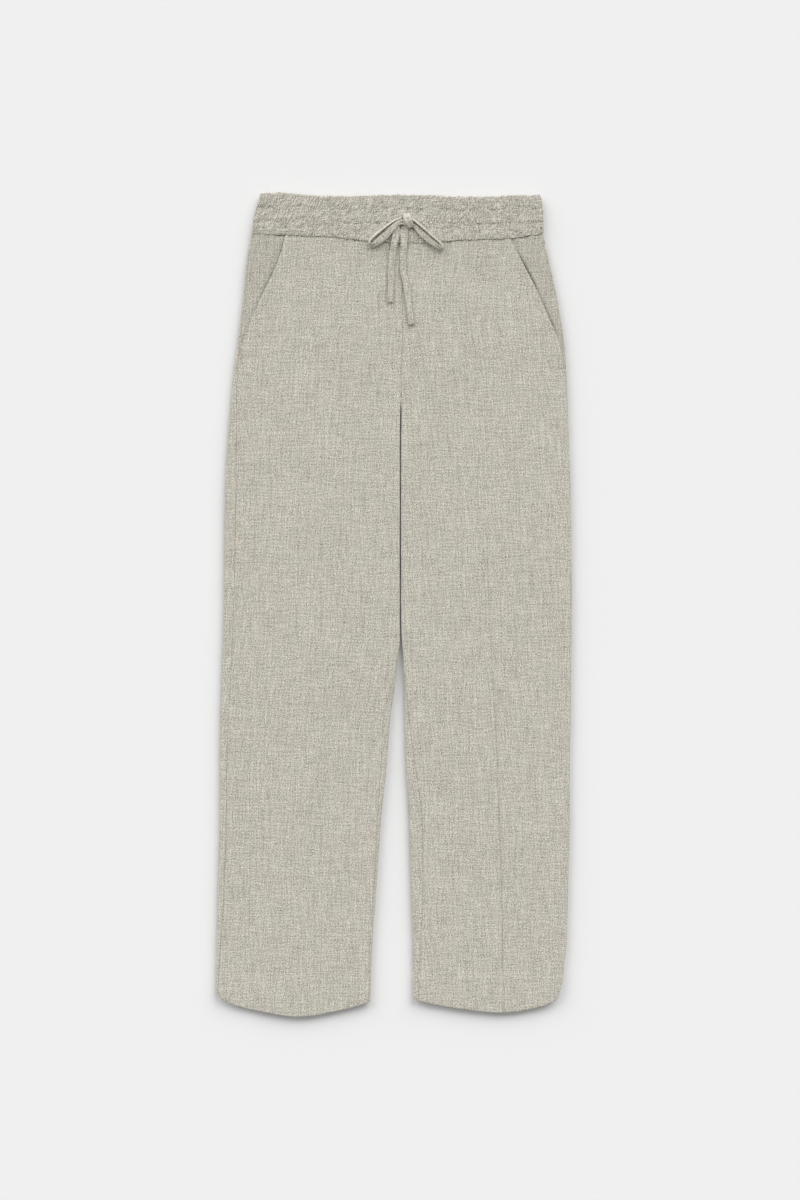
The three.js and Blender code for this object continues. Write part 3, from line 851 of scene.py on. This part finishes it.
def pocket_facing(side, material, cut_place):
    """The side piece that shows in the pocket's mouth and runs on under the front."""
    end = side.pocket.at[-1]
    rows = [Level(side, down) for down in stations([WAIST + 0.0002, WAIST + 0.002, end - 0.001], [3, 90])]
    rim_columns = HIDDEN_STEPS + TURN_STEPS

    def corner(column, row):
        level = rows[row]
        edge = level.front_edge
        start = level.side_seam + SEWN_GAP / 2 + SEAM_ROLL
        if column < rim_columns:
            place, depth, _ = turned_seam(start, -1)[column]
        else:
            share = (column - rim_columns) / FACING_COLUMNS
            shown = max(0.0005, edge - start)
            place = start + (shown + FACING_HIDDEN) * share
            depth = MOUTH_SINK * max(0, level.open - MOUTH_REST) * smooth(edge - 0.0035, edge, place)
            depth += min(level.open, MOUTH_REST) * smooth(max(start, edge - 0.004), edge, place)
            depth += 0.0004 * smooth(0, 0.002, place - edge)
        point = on_leg(level, place, -depth)
        return point, (place - level.crease + cut_place, -level.bent_down(level.tube.at(place)[0]))

    mesh = cloth_grid(rim_columns + FACING_COLUMNS, len(rows) - 1, corner)
    turn_out(mesh, Vector((0, 0, 1)))
    node = f"pocket_facing_{side.name}"
    piece = finished(f"{side.name}_pocket_side", mesh, material, "heathered_cloth", node)
    thicken(piece, settings().thickness)
    declare_sheet(piece, "laid", f"{side.name}_back")
    return piece


# ---------------------------------------------------------------- the waistband

BAND_COLUMNS = 740
BAND_OUTER_ROWS = 72
BAND_TURN_ROWS = 4
BAND_INNER_ROWS = 10
BAND_TOP_ROLL = 0.0008
BAND_SEAM_ROLL = 0.00035
GATHER_RATIO = 1.35  # cloth cut for each length of relaxed waistband

BUNCH_PITCH = 0.0031
BUNCH_HEIGHT = 0.0038
# Places where the gathers bunch up: across from the centre seam, below the top edge, reach and strength.
Bunch = namedtuple("Bunch", "across below reach strength")
BUNCHES = rows_of(
    Bunch,
    (-0.1805, 0.0172, 0.0060, 1.5),
    (-0.1560, 0.0395, 0.0100, 1.5),
    (-0.1500, 0.0510, 0.0070, 0.8),
    (-0.0500, 0.0400, 0.0100, 0.5),
    (0.0960, 0.0440, 0.0050, 1.0),
    (0.1350, 0.0358, 0.0090, 0.6),
    (0.0600, 0.0178, 0.0120, 0.5),
    (-0.0950, 0.0358, 0.0110, 0.6),
)


def band_tube(share):
    left = BAND_SIDES.read("left", WAIST * share)
    right = BAND_SIDES.read("right", WAIST * share)
    return left, FlatTube(left + right, BAND_HEIGHT, math.pi / 2)


BAND_REACH = band_tube(0.5)[1].reach


def band_relief(place, across, edge_distance, below_top, above_seam, seed):
    """How far the gathered casing stands out: three channels with a row of stitching between each two."""
    height = below_top + above_seam
    below_top += 0.0007 * wave(place / 0.020, 0, seed + 6) * math.sin(math.pi * min(1, below_top / height))
    edges = [0, *STITCH_ROWS, height]
    channel = sum(below_top >= row for row in STITCH_ROWS)
    low, high = edges[channel], edges[channel + 1]
    share = min(1, max(0, (below_top - low) / (high - low)))
    puffed = math.sin(math.pi * share) ** 0.7
    near_stitch = min(abs(below_top - row) for row in STITCH_ROWS)
    pinch = math.exp(-((near_stitch / 0.0010) ** 2)) * (0.45 + 1.1 * wave(place / 0.0036, channel, seed + 5))
    slant = 0.35 * (below_top - low)
    ruffle = wave((place + slant) / 0.0066, below_top / 0.018 + channel * 3.1, seed)
    fine = wave((place - slant) / 0.0026, below_top / 0.007 + channel * 5.7, seed + 1)
    way = max(-1, min(1, across / 0.05))
    pucker = wave((place + 0.28 * way * below_top) / 0.0016, channel + below_top / 0.013, seed + 2)
    pucker *= 0.6 + 0.7 * math.exp(-((near_stitch / 0.004) ** 2))
    bunches = sum(
        bunch.strength
        * math.exp(
            -(((across - bunch.across) / bunch.reach) ** 2) - ((below_top - bunch.below) / BUNCH_HEIGHT) ** 2
        )
        for bunch in BUNCHES
    )
    bunched = 0.0006 * bunches * math.sin(2 * math.pi * (across + 0.7 * below_top) / BUNCH_PITCH)
    at_side = math.exp(-((edge_distance / 0.006) ** 2))
    seam = math.exp(-((above_seam / 0.0022) ** 2)) * (0.5 + 1.3 * wave(place / 0.0040, 2.2, seed + 3))
    lift = (0.00018 + 0.0009 * at_side) * (puffed - 0.6) - 0.00032 * pinch - 0.0004 * seam
    return lift + bunched + 0.00036 * ruffle * (0.5 + 0.5 * puffed) + 0.00056 * fine + 0.00066 * pucker


def band_edges(across):
    """How far down a waistband's face starts and ends, between its turned edges."""
    top = BAND_LINES.read("top", across) + BAND_TOP_ROLL
    return top, WAIST + waist_sag(across) - SEWN_GAP / 2 - BAND_SEAM_ROLL


def on_band(place, share, seed, depth=0.0, slide=0.0):
    """A point on a waistband, `depth` in from its face, and its place on the flat cloth."""
    left, tube = band_tube(share)
    inward, z, lean, fall = tube.at(place * tube.reach / BAND_REACH)
    across = left - inward
    top, seam = band_edges(across)
    down = top + (seam - top) * share
    edge_distance = min(inward, left * 2 - inward)
    below_top, above_seam = down - top + BAND_TOP_ROLL, seam - down + BAND_SEAM_ROLL
    lift = band_relief(place, across, edge_distance, below_top, above_seam, seed)
    if place < 0:
        lift += (min(lift, 0) - lift) * smooth(0.002, 0.0055, -place)
    lift *= 1 - 0.85 * smooth(0, 0.0015, depth)
    scallop = 0.0005 * wave(place / 0.0046, 0, seed + 4) + 0.0005 * wave(place / 0.0023, 1, seed + 4)
    if place > 0:
        scallop = 0.6 * scallop + 0.0013 * smooth(0.004, 0.02, edge_distance)
    scallop *= 1 - smooth(-0.001, 0.006, down - top)
    along = depth - lift
    point = Vector((CENTRE_X + across - along * lean, TOP - down - slide - scallop, z + along * fall))
    return point, (place * GATHER_RATIO, -down)


def band_section():
    """Round a waistband's cut edge to edge: share of its height, depth and slide for each corner."""
    section = [(k / BAND_OUTER_ROWS, 0, 0) for k in range(BAND_OUTER_ROWS + 1)]
    steps = [math.pi / 2 * k / BAND_TURN_ROWS for k in range(1, BAND_TURN_ROWS + 1)]
    for share, roll, way in ((1, BAND_SEAM_ROLL, 1), (0, BAND_TOP_ROLL, -1)):
        turn = [(share, roll * (1 - math.cos(a)), way * roll * math.sin(a)) for a in steps]
        far_turn = [(share, BAND_WALL - depth, slide) for _, depth, slide in reversed(turn)]
        if share == 1:
            section += turn + far_turn
            section += [(1 - k / BAND_INNER_ROWS, BAND_WALL, 0) for k in range(BAND_INNER_ROWS + 1)]
        else:
            section += list(reversed(far_turn)) + list(reversed(turn)) + [(0, 0, 0)]
    return section


def waistband(name, node, start, end, material, seed):
    """One half of the waistband: a gathered casing with rounded edges, closed round its elastic."""
    section = band_section()

    def corner(column, row):
        share, depth, slide = section[row]
        place = start + (end - start) * column / BAND_COLUMNS
        point, (across, along) = on_band(place, share, seed, depth, slide)
        return point, (across + 0.01 * seed, along - slide if depth < BAND_WALL / 2 else along + 0.1)

    mesh = cloth_grid(BAND_COLUMNS, len(section) - 1, corner)
    close_up(mesh)
    bmesh.ops.triangulate(mesh, faces=[face for face in mesh.faces if len(face.verts) > 4])
    bmesh.ops.recalc_face_normals(mesh, faces=mesh.faces)
    piece = finished(name, mesh, material, "gathered_cloth", node)
    abs(end - start) * GATHER_RATIO
    return piece


# ---------------------------------------------------------------- the drawstring


def between(a, b, c, d, t):
    """A smooth curve's value a share `t` of the way from b to c, with a before them and d after."""
    return 0.5 * (2 * b + (c - a) * t + (2 * a - 5 * b + 4 * c - d) * t**2 + (3 * b - a - 3 * c + d) * t**3)


def tie_route(points, steps):
    """A smooth curve through the points: its position, roll and width at each step."""
    bow = bpy.context.scene.trousers_bow
    rows = []
    for point in points:
        roll = math.radians(point.roll)
        rise = (point.share * bow.width * abs(math.sin(roll)) + bow.thickness * math.cos(roll)) / 2
        place = (CENTRE_X + point.across, TOP - point.down, point.underside + rise)
        rows.append((*place, roll, point.share * bow.width))
    before = [2 * a - b for a, b in zip(rows[0], rows[1])]
    after = [2 * a - b for a, b in zip(rows[-1], rows[-2])]
    rows = [before, *rows, after]
    found = []
    for p0, p1, p2, p3 in zip(rows, rows[1:], rows[2:], rows[3:]):
        for k in range(steps):
            found.append([between(*values, k / steps) for values in zip(p0, p1, p2, p3)])
    return [*found, rows[-2]]


TIE_AROUND = 36
KNOT_COLUMNS = 48
KNOT_ROWS = 32


def flat_tie(name, points, inside, material, seed, nodes=()):
    """A flat turned tie along a route, with rounded pressed edges and a sunk line of edge stitching."""
    bow = bpy.context.scene.trousers_bow
    route = tie_route(points, bow.rings)
    middles = [Vector(row[:3]) for row in route]
    lengths = [0.0]
    for a, b in zip(middles, middles[1:]):
        lengths.append(lengths[-1] + (b - a).length)
    last = len(route) - 1
    frames = []
    for i, (middle, row) in enumerate(zip(middles, route)):
        along = (middles[min(i + 1, last)] - middles[max(i - 1, 0)]).normalized()
        level = Vector((0, 0, inside)).cross(along).normalized()
        level.rotate(Matrix.Rotation(inside * row[3], 3, along))
        frames.append((middle, level, along.cross(level).normalized(), row[4]))

    def corner(column, ring):
        middle, level, normal, width = frames[ring]
        turn = 2 * math.pi * (column % TIE_AROUND) / TIE_AROUND
        share = -math.cos(turn)
        pressed = 1 - 0.35 * smooth(0.108, 0.140, lengths[ring])
        pressed *= 1 - 0.30 * smooth(lengths[-1] - 0.010, lengths[-1], lengths[ring])
        half = bow.thickness / 2 * pressed * math.sqrt(max(0, 1 - abs(share) ** 5))
        stitched = 0.0002 * math.exp(-(((share * width / 2 - width / 2 + 0.0013) / 0.0004) ** 2))
        uneven = 1 + 0.16 * wave(lengths[ring] / 0.007, share * 0.7, seed)
        wander = 0.00018 * wave(lengths[ring] / 0.012, 0, seed + 1)
        rise = math.copysign(half * uneven - stitched * (half > 0.0004), math.sin(turn)) if half > 0 else 0
        point = middle + level * (share * width / 2 + wander) + normal * rise
        return point, (width * column / TIE_AROUND * 2, -lengths[ring])

    mesh = cloth_grid(TIE_AROUND, last, corner)
    close_up(mesh)
    bmesh.ops.recalc_face_normals(mesh, faces=mesh.faces)
    return finished(name, mesh, material, "tie_cloth", *nodes), frames, lengths[-1]


def tail_stitching(name, frames, material):
    """The stitches that close a tail: a row across its end, and a broken row along one edge above it."""
    mesh = bmesh.new()
    height = bpy.context.scene.trousers_bow.thickness * 0.31

    def at(ring, share):
        middle, level, normal, width = frames[ring]
        return middle + level * (share * width / 2) + normal * math.copysign(height, normal.z)

    for share in (-0.7, -0.35, 0, 0.35, 0.7):
        stitch(mesh, at(-3, share - 0.1), at(-3, share + 0.1), 0.0006)
    for ring in range(-26, -4, 3):
        stitch(mesh, at(ring, 0.68), at(ring + 1, 0.68), 0.0005)
    return finished(name, mesh, material, "tie_cloth")


def knot_core(material):
    """The gathered lump of cloth that the wrap is pulled round."""
    across, down = KNOT_MIDDLE
    middle = Vector((CENTRE_X + across, TOP - down, ON_BAND + KNOT_SIZE[2] / 2))

    def corner(column, row):
        turn = 2 * math.pi * (column % KNOT_COLUMNS) / KNOT_COLUMNS
        tilt = math.pi * row / KNOT_ROWS
        way = Vector((math.sin(tilt) * math.cos(turn), math.sin(tilt) * math.sin(turn), math.cos(tilt)))
        box = max(abs(way.x), abs(way.y), abs(way.z)) ** 0.55
        folds = 1 + 0.05 * math.sin(9 * way.x + 5 * way.y) + 0.04 * wave(way.x * 2, way.y * 2, 9)
        point = middle + Vector([way[i] * KNOT_SIZE[i] / 2 * folds / box**0.6 for i in range(3)])
        return point, (point.x, point.y)

    # A grid, because the order of the corners in Blender's own sphere changes from run to run.
    mesh = cloth_grid(KNOT_COLUMNS, KNOT_ROWS, corner)
    close_up(mesh)
    bmesh.ops.recalc_face_normals(mesh, faces=mesh.faces)
    return finished("knot_core", mesh, material, "tie_cloth")


# ---------------------------------------------------------------- stitches


def stitch(mesh, start, end, width):
    """One stitch: a small rounded bead of thread lying from start to end."""
    along = end - start
    turn = along.to_track_quat("X", "Z").to_matrix().to_4x4()
    size = Matrix.Diagonal((along.length / 2, width / 2, width / 2, 1))
    bmesh.ops.create_icosphere(
        mesh, subdivisions=1, radius=1, matrix=Matrix.Translation((start + end) / 2) @ turn @ size
    )


def on_band_row(place, row, seed):
    """A point on the waistband's face at a row of stitching."""
    left, tube = band_tube(row / WAIST)
    top, seam = band_edges(left - tube.at(place * tube.reach / BAND_REACH)[0])
    return on_band(place, (row - BAND_TOP_ROLL) / (seam - top), seed, -0.00008)[0]


def band_stitching(name, start, end, seed, material):
    """The two rows of stitching that divide one half of the waistband into its channels."""
    mesh = bmesh.new()
    pitch, length = 0.0034, 0.0025
    for row in STITCH_ROWS:
        count = int(abs(end - start) / pitch)
        for k in range(count):
            place = start + (end - start) * (k + 0.5) / count
            ends = [on_band_row(place + half * length, row, seed) for half in (-0.5, 0.5)]
            stitch(mesh, ends[0], ends[1], 0.00036)
    return finished(name, mesh, material, "gathered_cloth")


def bar_tack(side, material):
    """The dense bar of stitches that holds the foot of a pocket's mouth."""
    mesh = bmesh.new()
    level = Level(side, side.pocket.at[-1] - 0.004)
    for k in range(9):
        down = -0.004 + 0.001 * k
        edge = level.front_edge
        a = on_leg(level, edge - 0.0006, 0.0002, down)
        b = on_leg(level, edge + 0.0022, 0.0002, down + 0.0004)
        stitch(mesh, a, b, 0.0004)
    return finished(f"bar_tack_{side.name}", mesh, material, "heathered_cloth")


# ---------------------------------------------------------------- materials


class Tone:
    """A shader socket that works in sums: an expression on it adds the Math nodes that it needs."""

    def __init__(self, shader, socket):
        self.shader, self.socket = shader, socket

    def _maths(self, operation, *values):
        return self.shader.node("ShaderNodeMath", {"operation": operation}, *values)

    def __add__(self, other):
        return self._maths("ADD", self, other)

    def __sub__(self, other):
        return self._maths("SUBTRACT", self, other)

    def __rsub__(self, other):
        return self._maths("SUBTRACT", other, self)

    def __mul__(self, other):
        return self._maths("MULTIPLY", self, other)

    def __truediv__(self, other):
        return self._maths("DIVIDE", self, other)

    __radd__, __rmul__ = __add__, __mul__

    def floor(self):
        return self._maths("FLOOR", self)

    def modulo(self, other):
        return self._maths("FLOORED_MODULO", self, other)

    def arch(self):
        """0 at whole numbers and 1 half-way between them, rounded like a thread."""
        return self._maths("ABSOLUTE", self._maths("SINE", self * math.pi))


class Shader:
    """A new material, and what adds nodes to it."""

    def __init__(self, name):
        self.material = bpy.data.materials.new(name)
        self.material.use_nodes = True
        self.tree = self.material.node_tree
        self.surface = self.tree.nodes["Principled BSDF"]

    def feed(self, node, key, value):
        """Gives one of a node's sockets a link, or a plain value."""
        socket = node.inputs[key.replace("_", " ") if isinstance(key, str) else key]
        if isinstance(value, Tone):
            self.tree.links.new(value.socket, socket)
        else:
            socket.default_value = value

    def node(self, kind, options, *values, output=0, **named):
        """Adds a node, sets it and feeds its sockets. Returns one of its outputs."""
        node = self.tree.nodes.new(kind)
        for name, value in options.items():
            setattr(node, name, value)
        for key, value in [*enumerate(values), *named.items()]:
            self.feed(node, key, value)
        return Tone(self, node.outputs[output])

    def set(self, **values):
        for key, value in values.items():
            self.feed(self.surface, key, value)

    def combine(self, x, y, z=0.0):
        return self.node("ShaderNodeCombineXYZ", {}, x, y, z)

    def noise(self, vector, scale=1.0):
        """Smooth random values around 0, mostly from -0.5 to 0.5."""
        sockets = {"Vector": vector, "Scale": scale, "Detail": 0.0, "Roughness": 0.5}
        return self.node("ShaderNodeTexNoise", {"noise_dimensions": "3D"}, **sockets) - 0.5

    def flecks(self, vector):
        """Small even flecks about one unit apart, both ways from 0."""
        sockets = {"Vector": vector, "Scale": 1.0, "Frequency": 1.0, "Anisotropy": 0.0}
        return self.node("ShaderNodeTexGabor", {"gabor_type": "2D"}, **sockets) - 0.5

    def lines(self, across, along, pitch):
        """Wandering, broken lines a pitch apart, from -1 to 1."""
        wander = self.noise(self.combine(across / 0.004, along / 0.025, 5.5)) * (4 * math.pi)
        return self.node("ShaderNodeMath", {"operation": "SINE"}, across * (2 * math.pi / pitch) + wander)

    def mix(self, factor, a, b, blend="MIX"):
        node = self.tree.nodes.new("ShaderNodeMix")
        node.data_type, node.blend_type = "RGBA", blend
        for key, value in ((0, factor), (6, a), (7, b)):
            self.feed(node, key, value)
        return Tone(self, node.outputs[2])


def heathered_cloth(name, contrast=1.0, shade=1.0):
    """A plain weave of heathered threads, uneven in tone, with paler and darker lines running both ways."""
    cloth = settings()
    shader = Shader(name)
    place = shader.node("ShaderNodeUVMap", {"uv_map": "flat_cloth"})
    u, v = (shader.node("ShaderNodeSeparateXYZ", {}, place, output=i) for i in (0, 1))
    warp, weft = u / cloth.thread_pitch, v / cloth.thread_pitch
    over = (warp.floor() + weft.floor()).modulo(2.0)
    under = 1 - over
    warp_tone = shader.noise(shader.combine(warp.floor() * 7.37, v / 0.009, 1.7))
    weft_tone = shader.noise(shader.combine(u / 0.009, weft.floor() * 5.83, 4.1))
    threads = warp_tone * over + weft_tone * under
    flecks = shader.flecks(shader.combine(u / 0.0027, v / 0.0027))
    down_lines = shader.lines(u, v, 0.0041)
    cross_lines = shader.lines(v, u, 0.0041)
    down_streaks = shader.noise(shader.combine(u / 0.0012, v / 0.030, 8.3))
    cross_streaks = shader.noise(shader.combine(u / 0.014, v / 0.0010, 2.9))
    broad_streaks = shader.noise(shader.combine(u / 0.004, v / 0.030, 5.3))
    mottle = shader.noise(shader.combine(u / 0.0022, v / 0.0022, 3.3))
    tone = (
        0.30 * threads
        + 1.60 * flecks
        + 0.084 * down_lines
        + 0.088 * cross_lines
        + 0.24 * down_streaks
        + 0.16 * cross_streaks
        + 0.07 * broad_streaks
        + 0.14 * mottle
    ) * (cloth.contrast * contrast) + 1.0
    tint = shader.noise(shader.combine(u / 0.030, v / 0.040, 12.2))
    grain = shader.noise(shader.combine(u / 0.006, v / 0.006, 14.6))
    base = [channel * shade for channel in cloth.colour]
    pink = (base[0] * 1.022, base[1] * 0.994, base[2] * 0.998, 1)
    green = (base[0] * 0.980, base[1] * 1.006, base[2] * 0.990, 1)
    colour = shader.mix(tint * 1.2 + grain * 0.8 + 0.5, green, pink)
    colour = shader.mix(1.0, colour, shader.combine(tone, tone, tone), "MULTIPLY")
    height = warp.arch() * over + weft.arch() * under + 0.6 * threads + 0.8 * mottle + 2.0 * flecks
    bump = shader.node("ShaderNodeBump", {}, Strength=0.4, Distance=0.00020, Height=height)
    shader.set(
        Base_Color=colour,
        Normal=bump,
        Roughness=0.88,
        Specular_IOR_Level=0.25,
        Sheen_Weight=0.08,
        Sheen_Roughness=0.5,
    )
    return shader.material


def thread(name, shade=1.0):
    shader = Shader(name)
    where = shader.node("ShaderNodeTexCoord", {}, output=3)
    twist = shader.noise(where, scale=2500.0)
    dark, light = ((*(channel * shade * tone for channel in settings().colour), 1) for tone in (0.86, 1.08))
    shader.set(Base_Color=shader.mix(0.5 + twist, dark, light), Roughness=0.7)
    return shader.material


# ---------------------------------------------------------------- operators

VIEW_SHARE = 0.6875  # the garment's share of the view's height
VIEW_MIDDLE = Vector((0.0077, 0.0057, LEG_HEIGHT))
FLOOR_DROP = 0.0030  # below the garment, which keeps its shadow soft
LIGHT_ANGLE = math.radians(50)
BAND_SEED, WRAP_SEED, TIE_SEED = 50, 40, 20
# Each piece is cut from its own place along the bolt.
SIDE_CUT, BACK_CUT, POCKET_CUT = 0.9, 3, 0.4


class TROUSERS_OT_stage(bpy.types.Operator):
    """Lay down the floor, and set up the camera and the soft light"""

    bl_idname = "trousers.stage"
    bl_label = "Stage"

    def execute(self, context):
        stage = context.scene.trousers_stage
        view_height = LENGTH / VIEW_SHARE
        camera = bpy.data.objects.new("camera", bpy.data.cameras.new("camera"))
        camera.data.sensor_width = 36
        camera.data.lens = stage.lens
        camera.location = VIEW_MIDDLE + Vector((0, 0, view_height * stage.lens / camera.data.sensor_width))
        camera.data.clip_end = 50
        context.scene.collection.objects.link(camera)
        context.scene.camera = camera

        mesh = bmesh.new()
        bmesh.ops.create_grid(mesh, x_segments=1, y_segments=1, size=12)
        data = bpy.data.meshes.new("floor")
        mesh.to_mesh(data)
        mesh.free()
        floor = bpy.data.objects.new("floor", data)
        floor.location.z = -FLOOR_DROP
        shader = Shader("pale_floor")
        shader.set(Base_Color=(*stage.floor, 1), Roughness=0.9, Specular_IOR_Level=0.1)
        data.materials.append(shader.material)
        context.scene.collection.objects.link(floor)

        self.light(context, "key", stage.key, (0.5, 0.85, 0.6))
        self.light(context, "side", stage.side, (-0.7, 0.7, 0.5))
        world = bpy.data.worlds.new("studio")
        world.use_nodes = True
        world.node_tree.nodes["Background"].inputs["Color"].default_value = (1, 1, 1, 1)
        world.node_tree.nodes["Background"].inputs["Strength"].default_value = stage.fill
        context.scene.world = world
        context.scene.view_settings.view_transform = "Standard"
        context.scene.view_settings.look = "None"
        return {"FINISHED"}

    def light(self, context, name, strength, place):
        """A broad soft light, low over the table and the same all over it."""
        lamp = bpy.data.lights.new(name, "SUN")
        lamp.energy, lamp.angle = strength, LIGHT_ANGLE
        lamp_object = bpy.data.objects.new(name, lamp)
        lamp_object.location = place
        lamp_object.rotation_euler = (-Vector(place)).to_track_quat("-Z", "Y").to_euler()
        context.scene.collection.objects.link(lamp_object)


class TROUSERS_OT_drawstring(bpy.types.Operator):
    """Tie the flat drawstring in a bow: two loops, two tails and the wrapped knot"""

    bl_idname = "trousers.drawstring"
    bl_label = "Drawstring"

    def execute(self, context):
        cloth = heathered_cloth("tie_cloth", shade=0.99)
        sewing_thread = thread("tail_thread", 1.45)
        wrap, _, _ = flat_tie("knot_wrap", KNOT_WRAP, 1, cloth, WRAP_SEED, ["drawstring_knot"])
        core = knot_core(cloth)
        ends = (
            ("right", [*RIGHT_LOOP, *RIGHT_CROSSING, *RIGHT_TAIL], 1, [wrap, core]),
            ("left", [*LEFT_LOOP, *LEFT_CROSSING, *LEFT_TAIL], -1, []),
        )
        for name, points, inside, with_pieces in ends:
            nodes = [f"drawstring_loop_{name}", f"drawstring_tail_{name}"]
            seed = TIE_SEED + inside
            piece, frames, length = flat_tie(f"drawstring_{name}", points, inside, cloth, seed, nodes)
            stitches = tail_stitching(f"tail_stitching_{name}", frames, sewing_thread)
        return {"FINISHED"}


class TROUSERS_OT_legs(bpy.types.Operator):
    """Cut the fronts, the backs and the pockets' side pieces, and lay them on each other"""

    bl_idname = "trousers.legs"
    bl_label = "Legs"

    def execute(self, context):
        cloth = heathered_cloth("heathered_cloth")
        # The pockets' side pieces get a darker copy of the cloth. The darkening is partly their own tone and
        # partly painted shade, where they lie under the mouth's edge.
        pocket_tone_and_painted_shade = heathered_cloth("pocket_tone_and_painted_shade", shade=0.905)
        for side in (LEFT, RIGHT):
            cut_place = SIDE_CUT * side.sign
            layers = ("back", back_columns, -1, BACK_CUT), ("front", front_columns, 1, 0)
            for layer, columns, up, cut in layers:
                name, node = f"{side.name}_{layer}", f"{layer}_{side.name}"
                leg_panel(name, node, side, columns, cloth, Vector((0, 0, up)), cut_place + cut)
            pocket_facing(side, pocket_tone_and_painted_shade, cut_place + POCKET_CUT)
        return {"FINISHED"}


class TROUSERS_OT_waistband(bpy.types.Operator):
    """Gather the two halves of the waistband on their elastic"""

    bl_idname = "trousers.waistband"
    bl_label = "Waistband"

    def execute(self, context):
        # The waistband's cloth is darker than the legs' as painted shade of its gathers, and its random tone
        # varies more.
        cloth = heathered_cloth("gathered_cloth", contrast=1.3, shade=0.955)
        gap = SEWN_GAP
        front_ends = BAND_SIDE_SEAM + gap, BAND_REACH - BAND_SIDE_SEAM - gap
        back_ends = BAND_SIDE_SEAM - gap, -BAND_REACH - BAND_SIDE_SEAM + gap
        waistband("front_casing", "waistband_front", *front_ends, cloth, BAND_SEED)
        waistband("back_casing", "waistband_back", *back_ends, cloth, BAND_SEED)
        return {"FINISHED"}


class TROUSERS_OT_stitching(bpy.types.Operator):
    """Sew the waistband's channels and the bar tacks of the pockets"""

    bl_idname = "trousers.stitching"
    bl_label = "Stitching"

    def execute(self, context):
        sewing_thread = thread("sewing_thread")
        band_stitching("stitching_front", 0.008, BAND_REACH - 0.008, BAND_SEED, sewing_thread)
        for side in (LEFT, RIGHT):
            bar_tack(side, sewing_thread)
        return {"FINISHED"}


class TROUSERS_PT_panel(bpy.types.Panel):
    bl_idname = "TROUSERS_PT_panel"
    bl_label = "Lounge trousers"
    bl_space_type = "VIEW_3D"
    bl_region_type = "UI"
    bl_category = "Trousers"

    def draw(self, context):
        for group_name in SETTINGS:
            group = getattr(context.scene, group_name)
            for name in group.__annotations__:
                self.layout.prop(group, name)
        for operator in OPERATORS:
            self.layout.operator(operator.bl_idname)


OPERATORS = (
    TROUSERS_OT_stage,
    TROUSERS_OT_drawstring,
    TROUSERS_OT_legs,
    TROUSERS_OT_waistband,
    TROUSERS_OT_stitching,
)
SETTINGS = {
    "trousers_cloth": ClothSettings,
    "trousers_bow": BowSettings,
    "trousers_stage": StageSettings,
}


def register():
    for cls in (*SETTINGS.values(), *OPERATORS, TROUSERS_PT_panel):
        bpy.utils.register_class(cls)
    for name, group in SETTINGS.items():
        setattr(bpy.types.Scene, name, PointerProperty(type=group))


def unregister():
    for name in SETTINGS:
        delattr(bpy.types.Scene, name)
    for cls in (*SETTINGS.values(), *OPERATORS, TROUSERS_PT_panel):
        bpy.utils.unregister_class(cls)


def main():
    register()
    bpy.ops.trousers.stage()
    bpy.ops.trousers.drawstring()
    bpy.ops.trousers.legs()
    bpy.ops.trousers.waistband()
    bpy.ops.trousers.stitching()


if __name__ == "__main__":
    main()
